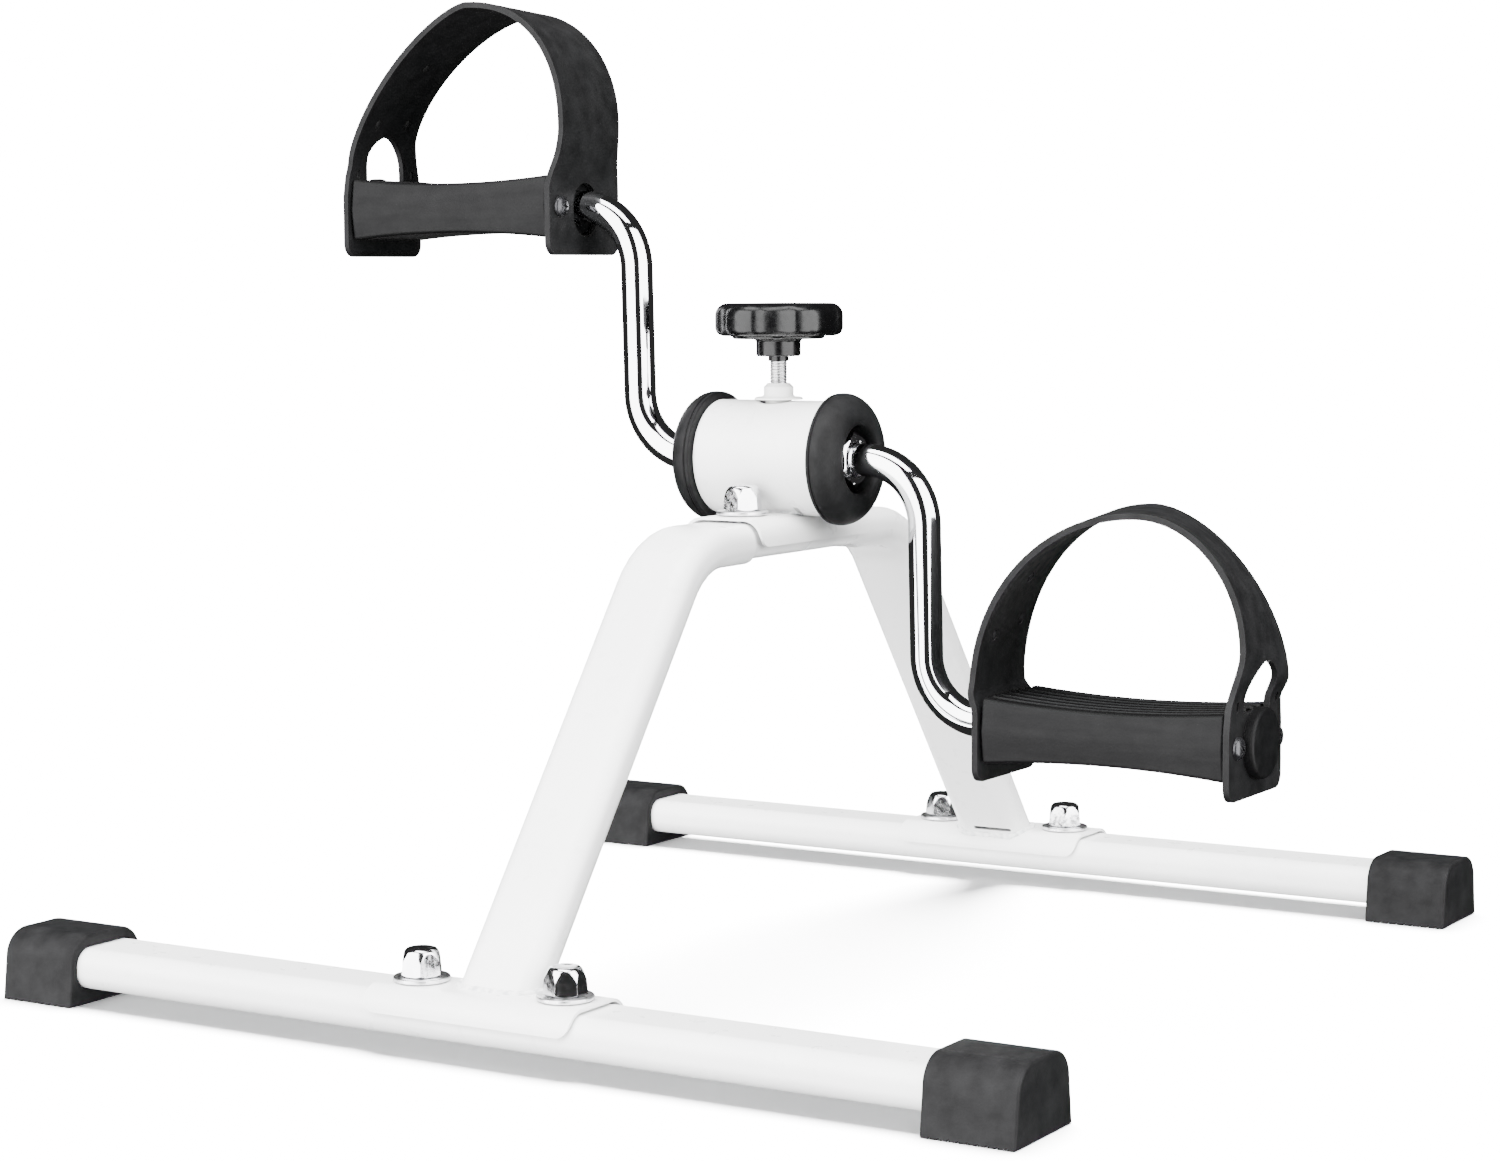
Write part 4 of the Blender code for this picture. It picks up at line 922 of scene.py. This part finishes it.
def knob_mesh():
    """Star grip with a rounded shoulder, over a shallow disc, a collar and a neck."""
    levels = [(3.0, 0.0), (1.5, 0.45), (0.6, 1.2), (0.0, 2.8), (0.0, 7.4)]
    top = (KNOB_TOP - KNOB_BOTTOM) / MM
    shoulder = KNOB_SHOULDER / MM
    for i in range(1, 9):
        angle = math.radians(90 * i / 8)
        levels.append((shoulder * (1 - math.cos(angle)), top - shoulder * (1 - math.sin(angle))))
    levels += [(5.5, top - 0.05), (9.0, top - 0.12), (14.0, top - 0.15)]
    rings = []
    for inset, height in levels:
        ring = []
        for radius, angle in knob_outline():
            reach = radius - inset * MM
            ring.append(Vector((reach * math.cos(angle), reach * math.sin(angle), KNOB_BOTTOM + height * MM)))
        rings.append(ring)
    star = lofted(rings)
    inside = KNOB_BOTTOM + 2 * MM
    neck = 3.7 * MM
    profile = [(0, inside), (17 * MM, inside), (17 * MM, KNOB_BOTTOM - 0.5 * MM)]
    profile += [(16.4 * MM, KNOB_BOTTOM - 1.0 * MM), (COLLAR_RADIUS + 1.2 * MM, KNOB_BOTTOM - 1.2 * MM)]
    profile += arc((COLLAR_RADIUS + 1.2 * MM, KNOB_BOTTOM - 2.4 * MM), 1.2 * MM, 90, 180, 4)
    profile += [(COLLAR_RADIUS, COLLAR_BOTTOM + 0.5 * MM), (COLLAR_RADIUS - 0.5 * MM, COLLAR_BOTTOM)]
    profile += [(neck, COLLAR_BOTTOM), (neck, NECK_BOTTOM), (0, NECK_BOTTOM)]
    solid = combined(star, [turned(profile, 80)], "UNION")
    return cut(solid, rod(THREAD_RADIUS + GAP, NECK_BOTTOM - MM, SCREW_TOP + GAP))


def thread_mesh():
    """Screw with a real helical thread over its whole length."""
    sides, per_turn = 28, 8
    rows = round((SCREW_TOP - THREAD_LOW) / THREAD_PITCH * per_turn)
    rings = []
    for i in range(rows + 1):
        height = THREAD_LOW + (SCREW_TOP - THREAD_LOW) * i / rows
        ring = []
        for k in range(sides):
            phase = ((height - THREAD_LOW) / THREAD_PITCH - k / sides) % 1
            radius = THREAD_RADIUS + 0.15 * MM - THREAD_DEPTH * abs(2 * phase - 1)
            radius -= max(0, 1 - i / per_turn) * 0.8 * MM
            angle = 2 * math.pi * k / sides
            ring.append(Vector((radius * math.cos(angle), radius * math.sin(angle), height)))
        rings.append(ring)
    return lofted(rings)


def build_knob():
    show("knob_grip", knob_mesh(), "knob", KNOB, ["tension_knob"], smooth_angle=50)
    show("knob_thread", thread_mesh(), "knob", STEEL, ["tension_screw"], smooth_angle=60)


# ---------------------------------------------------------------- pedals

# Long edges of the straps in millimetres: u runs out from the hub's middle plane, before the
# left pedal's inset, and z up from the pedal's axis. Each half edge has a springing point (u, z)
# and a power: it rises over the plate to that point, then bends to the crest on a superellipse.
STRAP_EDGES = {
    "right_near": {"crest": (152.6, 78.9), "inner": (88.5, 14, 2.0), "outer": (193.0, 33, 1.98)},
    "right_far": {"crest": (141.0, 79.4), "inner": (87.0, 14, 2.05), "outer": (191.8, 21, 1.67)},
    "left_near": {"crest": (131.2, 77.4), "inner": (86.5, 29, 2.25), "outer": (188.2, 19, 1.42)},
    "left_far": {"crest": (130.9, 75.7), "inner": (89.3, 31.6, 2.05), "outer": (189.2, 26.6, 1.52)},
}
CORNER_STEPS, RISE_STEPS, BEND_STEPS, ACROSS_STEPS = 8, 10, 26, 8


def eased(share):
    return share * share * (3 - 2 * share)


def strap_width(z, plate_half):
    """Half the strap's width at a height: rounded plate corners, then a waist over the plate."""
    if z < PLATE_BOTTOM + PLATE_CORNER:
        drop = PLATE_BOTTOM + PLATE_CORNER - z
        return plate_half - PLATE_CORNER + math.sqrt(max(PLATE_CORNER ** 2 - drop ** 2, 0))
    share = min(max((z - PLATE_TOP_IN) / (14 * MM), 0), 1)
    return plate_half + (STRAP_HALF_WIDTH - plate_half) * eased(share)


def strap_side(crest, spring, plate_u, plate_top):
    """(u, z) points of half an edge, from the plate's bottom corner up to the crest."""
    u, z, power = spring[0] * MM, spring[1] * MM, spring[2]
    points = []
    for i in range(CORNER_STEPS + 1):
        angle = math.radians(90 * i / CORNER_STEPS)
        points.append((plate_u, PLATE_BOTTOM + PLATE_CORNER * (1 - math.cos(angle))))
    points += [(plate_u, plate_top * 0.4), (plate_u, plate_top)]
    for i in range(1, RISE_STEPS):
        share = i / RISE_STEPS
        points.append((plate_u + (u - plate_u) * eased(share), plate_top + (z - plate_top) * share))
    for i in range(BEND_STEPS):
        angle = math.radians(90 * i / BEND_STEPS)
        across = math.cos(angle) ** (2 / power)
        up = math.sin(angle) ** (2 / power)
        points.append((crest[0] + (u - crest[0]) * across, z + (crest[1] - z) * up))
    return points


def strap_edge(name):
    shape = STRAP_EDGES[name]
    crest = (shape["crest"][0] * MM, shape["crest"][1] * MM)
    inner = strap_side(crest, shape["inner"], PLATE_IN, PLATE_TOP_IN)
    outer = strap_side(crest, shape["outer"], PLATE_OUT, PLATE_TOP_OUT)
    return inner + [crest] + outer[::-1]


def strap_rows(side):
    """Points of the strap's outer surface, row by row from the hub side over the crest."""
    rows = []
    for (near_u, near_z), (far_u, far_z) in zip(strap_edge(f"{side}_near"), strap_edge(f"{side}_far")):
        near_point = Vector((near_u, -strap_width(near_z, PLATE_NEAR), near_z))
        far_point = Vector((far_u, strap_width(far_z, PLATE_FAR), far_z))
        rows.append([near_point.lerp(far_point, k / ACROSS_STEPS) for k in range(ACROSS_STEPS + 1)])
    return rows


def strap_mesh(rows):
    """Moulded strap with its end plates, its openings cut and its edges rounded."""
    work = bmesh.new()
    grid = [[work.verts.new(point) for point in row] for row in rows]
    for row, ahead in zip(grid, grid[1:]):
        for i in range(len(row) - 1):
            work.faces.new((row[i], ahead[i], ahead[i + 1], row[i + 1]))
    obj = thickened(meshed(work, "strap"), STRAP_THICKNESS)
    obj.modifiers.new("triangles", "TRIANGULATE")
    return bevelled(cut(baked(obj), *strap_openings()), 0.4 * MM, 2, 50)


def through_plate(outline, u):
    reach = 16 * MM
    return moved(prism(outline, u - reach, u + reach), OUTLINE_TO_YZ)


def slot_outline(y, z, width, height, steps):
    rise = (height - width) / 2
    outline = arc((y, z + rise), width / 2, 0, 180, 2 * steps)
    return outline + arc((y, z - rise), width / 2, 180, 360, 2 * steps)


def strap_openings():
    """Cutters of the window, the rod's two openings and the small slots by the window."""
    half, low, high = 11.5 * MM, 11 * MM, 28.5 * MM
    window = [(-half, low), (half, low)] + arc((0, high - half), half, 0, 180, 24)
    openings = [through_plate(window, PLATE_OUT)]
    openings.append(through_plate(slot_outline(0, -MM, 16 * MM, 20 * MM, steps=12), PLATE_IN))
    openings.append(through_plate(arc((0, 0), ROD_RADIUS + MM, 0, 350, 35), PLATE_OUT))
    for way in (-1, 1):
        slot = slot_outline(way * SCREW_Y, 14 * MM, 1.8 * MM, 3.6 * MM, steps=4)
        openings.append(through_plate(slot, PLATE_OUT))
    return openings


def pip_mesh():
    """Low oval pip, longer along its own Y, standing on its origin along +Z."""
    profile = [(0, 0.8 * MM), (0.7 * MM, 0.74 * MM), (1.2 * MM, 0.5 * MM), (1.55 * MM, 0.1 * MM)]
    profile += [(1.7 * MM, -0.4 * MM), (0, -0.4 * MM)]
    return moved(turned(profile, 20), Matrix.Diagonal((1, 1.35, 1, 1)))


def pips_mesh(rows):
    """Pips on the inside of the loop: a pair low on each leg and a single one above."""
    spots = ((34 * MM, 0.28), (36 * MM, 0.74), (55 * MM, 0.5))
    half_way = len(rows) // 2
    first = CORNER_STEPS + 3
    meshes = []
    for leg in (range(first, half_way), range(half_way, len(rows) - first)):
        for height, share in spots:
            column = round(share * ACROSS_STEPS)
            index = min(leg, key=lambda i: abs(rows[i][column].z - height))
            point = rows[index][column]
            along = (rows[index + 1][column] - rows[index - 1][column]).normalized()
            across = (rows[index][column + 1] - rows[index][column - 1]).normalized()
            inward = across.cross(along).normalized()
            towards_middle = Vector((140 * MM, 0, 20 * MM)) - point
            if inward.dot(towards_middle) < 0:
                inward = -inward
            side = along.cross(inward)
            turn = Matrix((side, along, inward)).transposed().to_4x4()
            place = Matrix.Translation(point + inward * STRAP_THICKNESS) @ turn
            meshes.append(moved(pip_mesh(), place))
    return joined(*meshes)


def tread_outline(height, inset):
    """Section of a pedal block: creased sides and grooved treads, shrunk by an inset."""
    depth = BLOCK_HALF_DEPTH - inset
    edge = depth - BLOCK_CREASE
    height -= inset
    top = [(-depth, 0), (-depth + 0.4 * MM, height * 0.35)]
    top += arc((1.4 * MM - edge, height - 1.4 * MM), 1.4 * MM, 180, 90, 5)
    for i in range(GROOVES):
        y = (i - (GROOVES - 1) / 2) * GROOVE_PITCH
        for step, share in ((-0.5, 0), (-0.38, 0.75), (-0.2, 1), (0.2, 1), (0.38, 0.75), (0.5, 0)):
            top.append((y + step * GROOVE_WIDTH, height - share * GROOVE_DEPTH))
    top += arc((edge - 1.4 * MM, height - 1.4 * MM), 1.4 * MM, 90, 0, 5)
    top.append((depth - 0.4 * MM, height * 0.35))
    return top + [(-y, -z) for y, z in top]


def block_mesh():
    """Block between the plates: waisted in height along its length, bored for the rod."""
    start = PLATE_IN + STRAP_THICKNESS + BLOCK_END_GAP
    end = PLATE_OUT - STRAP_THICKNESS - BLOCK_END_GAP
    rounding = 0.7 * MM
    stations = [(0.0, rounding), (0.2, 0.3), (0.5, 0.08), (1.0, 0.0)]
    places = [(start + share * rounding, inset * (rounding if inset < 1 else 1)) for share, inset in stations]
    places[0] = (start, rounding)
    inner = [(start + rounding + (end - start - 2 * rounding) * i / 32, 0.0) for i in range(1, 32)]
    mirrored_ends = [(start + end - x, inset) for x, inset in reversed(places)]
    rings = []
    for x, inset in places + inner + mirrored_ends:
        share = (x - start) / (end - start)
        waist = 1 - (2 * share - 1) ** 2
        outline = tread_outline(BLOCK_HALF_HEIGHT + (BLOCK_WAIST - BLOCK_HALF_HEIGHT) * waist, inset)
        rings.append([Vector((x, y, z)) for y, z in outline])
    return cut(lofted(rings), moved(rod(ROD_RADIUS + GAP, 0, PLATE_OUT), TURN_TO_X))


def screw_mesh():
    """Domed cross-head screw along +Z, with the underside of its head at the origin."""
    height, length = 2.2 * MM, 6 * MM
    profile = [(0, height)]
    for i in range(1, 9):
        angle = math.radians(90 * i / 8)
        profile.append((SCREW_HEAD * math.sin(angle) ** 0.9, height * math.cos(angle) ** 0.8))
    profile += [(2 * MM, 0), (2 * MM, -length), (0, -length)]
    bars = []
    for turn in (0, 90):
        bar = prism(rounded_rectangle(4 * MM, 0.9 * MM, 0.3 * MM, 3), height - 1.1 * MM, height + MM)
        bars.append(moved(bar, Matrix.Rotation(math.radians(turn), 4, "Z")))
    return cut(turned(profile, 40), *bars)


def rod_cap_mesh():
    """Round cap over the rod's end: rounded rim, faintly domed face, hollow behind."""
    base, edge, dome = PLATE_OUT + GAP, 1.3 * MM, 0.25 * MM
    hollow, hollow_top = 10 * MM, ROD_END + 2 * GAP
    profile = [(0, ROD_CAP_FACE), (6 * MM, ROD_CAP_FACE - dome * 0.3)]
    profile += arc((ROD_CAP_RADIUS - edge, ROD_CAP_FACE - dome - edge), edge, 90, 0, 7)
    profile += [(ROD_CAP_RADIUS, base), (hollow, base), (hollow, hollow_top), (0, hollow_top)]
    return moved(turned(profile, 72), TURN_TO_X)


def mirrored(mesh, flip):
    mesh.transform(flip)
    if flip.determinant() < 0:
        mesh.flip_normals()
    return mesh


def build_pedal(side, turn, place):
    """One pedal about its axle; turn is 1 on the +X side and -1 on the other."""
    body = f"{side}_pedal"
    flip = Matrix.Scale(-1, 4, (1, 0, 0)) if turn < 0 else UNMOVED
    rows = strap_rows(side)
    pieces = (
        ("tread_block", block_mesh(), BLOCK, [f"{side}_pedal_block"]),
        ("strap_band", strap_mesh(rows), STRAP, [f"{side}_pedal_strap"]),
        ("strap_pips", pips_mesh(rows), STRAP, ()),
        ("end_cap", rod_cap_mesh(), BLOCK, [f"{side}_rod_cap"]),
    )
    for name, mesh, look, nodes in pieces:
        show(f"{side}_{name}", mirrored(mesh, flip), body, look, nodes, place)
    screw = screw_mesh()
    for end, u, way in (("inner", PLATE_IN - GAP, -1), ("outer", PLATE_OUT + GAP, 1)):
        for spot, y in (("front", -SCREW_Y), ("rear", SCREW_Y)):
            aim = Matrix.Rotation(turn * way * math.pi / 2, 4, "Y")
            spin = Matrix.Rotation(math.radians(20 + 30 * way), 4, "Z")
            seat = place @ Matrix.Translation((turn * u, y, 0)) @ aim @ spin
            name = f"{side}_{end}_{spot}"
            show(f"{name}_cross_screw", screw, body, BLACK_STEEL, [f"{name}_screw"], seat)


def build_cranks():
    crank = Matrix.Translation((0, 0, HUB_Z)) @ Matrix.Rotation(CRANK_ANGLE, 4, "X")
    level = Matrix.Rotation(-CRANK_ANGLE, 4, "X")
    turns = {"left": Matrix.Rotation(math.pi, 4, "Y"), "right": UNMOVED}
    for side, way, inset in (("left", -1, LEFT_PEDAL_INSET), ("right", 1, 0.0)):
        corners = [(SOCKET_X, 0, 0), (ARM_X, 0, 0), (ARM_X, 0, -THROW), (ROD_END - inset, 0, -THROW)]
        arm = round_rod(filleted(corners, ARM_BEND, steps=28), ROD_RADIUS)
        show(f"{side}_crank_rod", arm, "crank", CHROME, [f"{side}_crank_arm"], crank @ turns[side])
        axle = crank @ Matrix.Translation((-way * inset, 0, -way * THROW)) @ level
        build_pedal(side, way, axle)


# ---------------------------------------------------------------- carried-over nodes

def finish_carried_nodes():
    """Pieces inside the hub and under the nuts keep their CAD shape, with a real finish."""
    kept = {
        "hub_spindle": STEEL, "brake_shoe": STEEL, "brake_lining": FELT,
        "left_bearing_bush": NYLON, "right_bearing_bush": NYLON,
        "left_rod_clip": STEEL, "right_rod_clip": STEEL,
    }
    for name, node in frame["nodes"].items():
        if name.endswith("_stud"):
            kept[name] = STEEL
    for name, (surface, slot) in kept.items():
        node = frame["nodes"][name]
        node.data.materials.clear()
        node.data.materials.append(surface)


# ---------------------------------------------------------------- stage, light and camera

STAGE_RADIUS = 9.0
SURROUND_GLOW = 17.0
DARK_GLOW = 0.03
DARK_SCALE = 0.9                    # the dark surround stands just inside the white one

# Softboxes left and right of the camera: their turns from +Y about Z in degrees. What lies
# between them and behind the object is dark, which gives the chrome its bands.
SOFTBOXES = (160, 262)
SOFTBOX_WIDTH = 2.3
SOFTBOX_HEIGHT = 3.6
SOFTBOX_DISTANCE = 1.8
SOFTBOX_GLOW = 11.0

# Lights: name, strength, spread, turn clockwise from +Y and height, all three in degrees.
OBJECT_LIGHTS = (
    ("overhead", 17.0, 75, 170, 74),
    ("front_fill", 7.0, 50, 200, 22),
    ("right_fill", 5.0, 30, 100, 12),
)
FLOOR_BOUNCE = ("floor_bounce", 7.0, 60, 190, -32)
FLOOR_LIGHT = ("floor_light", 60.0, 40, -15, 72)
SKY_GLOW = 0.24

CAMERA_LENS = 77.28
CAMERA_PLACE = (0.61043, -1.02311, 0.25381)
CAMERA_YAW, CAMERA_PITCH, CAMERA_ROLL = math.radians(31.35), math.radians(5.42), math.radians(-0.31)


def emission(name, strength):
    material = bpy.data.materials.new(name)
    material.use_nodes = True
    tree = material.node_tree
    tree.nodes.remove(tree.nodes["Principled BSDF"])
    glow = tree.nodes.new("ShaderNodeEmission")
    glow.inputs["Strength"].default_value = strength
    tree.links.new(glow.outputs["Emission"], tree.nodes["Material Output"].inputs["Surface"])
    return material


def pale_floor():
    """Smooth white studio floor with the faintest mottling."""
    g = Graph("pale_floor", 0.9, specular=0.0)
    g.colour(g.ramp(g.noise(3, 3), 0.3, 0.7, (0.90, 0.90, 0.905), (0.92, 0.92, 0.925)))
    g.bump(g.noise(300, 2), 0.00005, 0.1)
    return g.material


def stage_object(name, mesh, material, camera=True, diffuse=True, glossy=True, shadow=True):
    obj = bpy.data.objects.new(name, mesh)
    bpy.context.scene.collection.objects.link(obj)
    mesh.materials.clear()
    mesh.materials.append(material)
    obj.visible_camera = camera
    obj.visible_diffuse = diffuse
    obj.visible_glossy = glossy
    obj.visible_shadow = shadow
    return obj


def panel(width, height):
    """Upright rectangle in local XZ, facing -Y, about its centre."""
    work = bmesh.new()
    x, z = width / 2, height / 2
    work.faces.new([work.verts.new(corner) for corner in ((-x, 0, -z), (x, 0, -z), (x, 0, z), (-x, 0, z))])
    return meshed(work, "panel")


def build_stage():
    """Round floor, a white surround, and tall light panels that only reflections show."""
    work = bmesh.new()
    bmesh.ops.create_circle(work, cap_ends=True, segments=96, radius=STAGE_RADIUS)
    floor = stage_object("floor", meshed(work, "ground"), pale_floor(), diffuse=False, glossy=False)
    work = bmesh.new()
    bmesh.ops.create_uvsphere(work, u_segments=64, v_segments=32, radius=STAGE_RADIUS)
    surround = meshed(work, "surround")
    stage_object("surround", surround, emission("surround_white", SURROUND_GLOW),
                 diffuse=False, glossy=False, shadow=False)
    dark = stage_object("dark_surround", surround.copy(), emission("surround_dark", DARK_GLOW),
                        camera=False, diffuse=False, shadow=False)
    dark.scale = (DARK_SCALE, DARK_SCALE, DARK_SCALE)
    glow = emission("softbox_glow", SOFTBOX_GLOW)
    for i, azimuth in enumerate(SOFTBOXES):
        place = Matrix.Rotation(math.radians(azimuth), 4, "Z") @ Matrix.Translation((0, SOFTBOX_DISTANCE, 0.5))
        box = stage_object(f"softbox_{i}", panel(SOFTBOX_WIDTH, SOFTBOX_HEIGHT), glow,
                           camera=False, diffuse=False, shadow=False)
        box.matrix_world = place
    top = stage_object("softbox_top", panel(1.5, 0.9), glow, camera=False, diffuse=False, shadow=False)
    top.matrix_world = Matrix.Translation((0.1, -0.5, 1.7)) @ Matrix.Rotation(math.radians(70), 4, "X")
    return floor


def linked_collection(name, objects, state):
    """Collection that makes a light reach only the objects, or everything but them."""
    collection = bpy.data.collections.new(name)
    for obj in objects:
        collection.objects.link(obj)
    for entry in collection.collection_objects:
        entry.light_linking.link_state = state
    return collection


def sun(name, energy, angle, azimuth, elevation, receivers):
    """Soft light from a turn about Z, in degrees clockwise from +Y, and a height."""
    data = bpy.data.lights.new(name, "SUN")
    data.energy = energy
    data.angle = math.radians(angle)
    obj = bpy.data.objects.new(name, data)
    bpy.context.scene.collection.objects.link(obj)
    turn, rise = math.radians(azimuth), math.radians(elevation)
    towards = Vector((math.sin(turn) * math.cos(rise), math.cos(turn) * math.cos(rise), math.sin(rise)))
    obj.rotation_euler = towards.to_track_quat("Z", "Y").to_euler()
    obj.visible_glossy = False
    obj.light_linking.receiver_collection = receivers
    return obj


def build_lights(floor):
    """Soft lights on the object and one on the floor.

    On the floor only the base, the legs and their bolts throw shadows, not the hub or pedals.
    """
    objects = linked_collection("lit_as_object", [floor], "EXCLUDE")
    ground = linked_collection("lit_as_floor", [floor], "INCLUDE")
    base = [obj for obj in bpy.data.objects if obj.name.startswith(("front_", "rear_"))]
    for light in OBJECT_LIGHTS:
        sun(*light, objects)
    bounce = sun(*FLOOR_BOUNCE, objects)
    bounce.light_linking.blocker_collection = objects
    floor_light = sun(*FLOOR_LIGHT, ground)
    floor_light.light_linking.blocker_collection = linked_collection("floor_shadow", base, "INCLUDE")
    world = bpy.data.worlds.new("studio")
    bpy.context.scene.world = world
    world.use_nodes = True
    background = world.node_tree.nodes["Background"]
    background.inputs["Color"].default_value = (0.92, 0.96, 1.0, 1)
    background.inputs["Strength"].default_value = SKY_GLOW


def build_camera():
    """A long lens, a little above the object and off its right front corner."""
    data = bpy.data.cameras.new("camera")
    data.lens = CAMERA_LENS
    data.sensor_width = 36.0
    camera = bpy.data.objects.new("camera", data)
    bpy.context.scene.collection.objects.link(camera)
    yaw, pitch, roll = CAMERA_YAW, CAMERA_PITCH, CAMERA_ROLL
    look = Vector((-math.sin(yaw) * math.cos(pitch), math.cos(yaw) * math.cos(pitch), -math.sin(pitch)))
    right = Vector((math.cos(yaw), math.sin(yaw), 0))
    up = right.cross(look)
    across = math.cos(roll) * right + math.sin(roll) * up
    upward = -math.sin(roll) * right + math.cos(roll) * up
    turn = Matrix((across, upward, -look)).transposed().to_4x4()
    camera.matrix_world = Matrix.Translation(CAMERA_PLACE) @ turn
    bpy.context.scene.camera = camera


build_base()
build_legs()
build_hub()
build_knob()
build_cranks()
finish_carried_nodes()
build_lights(build_stage())
build_camera()
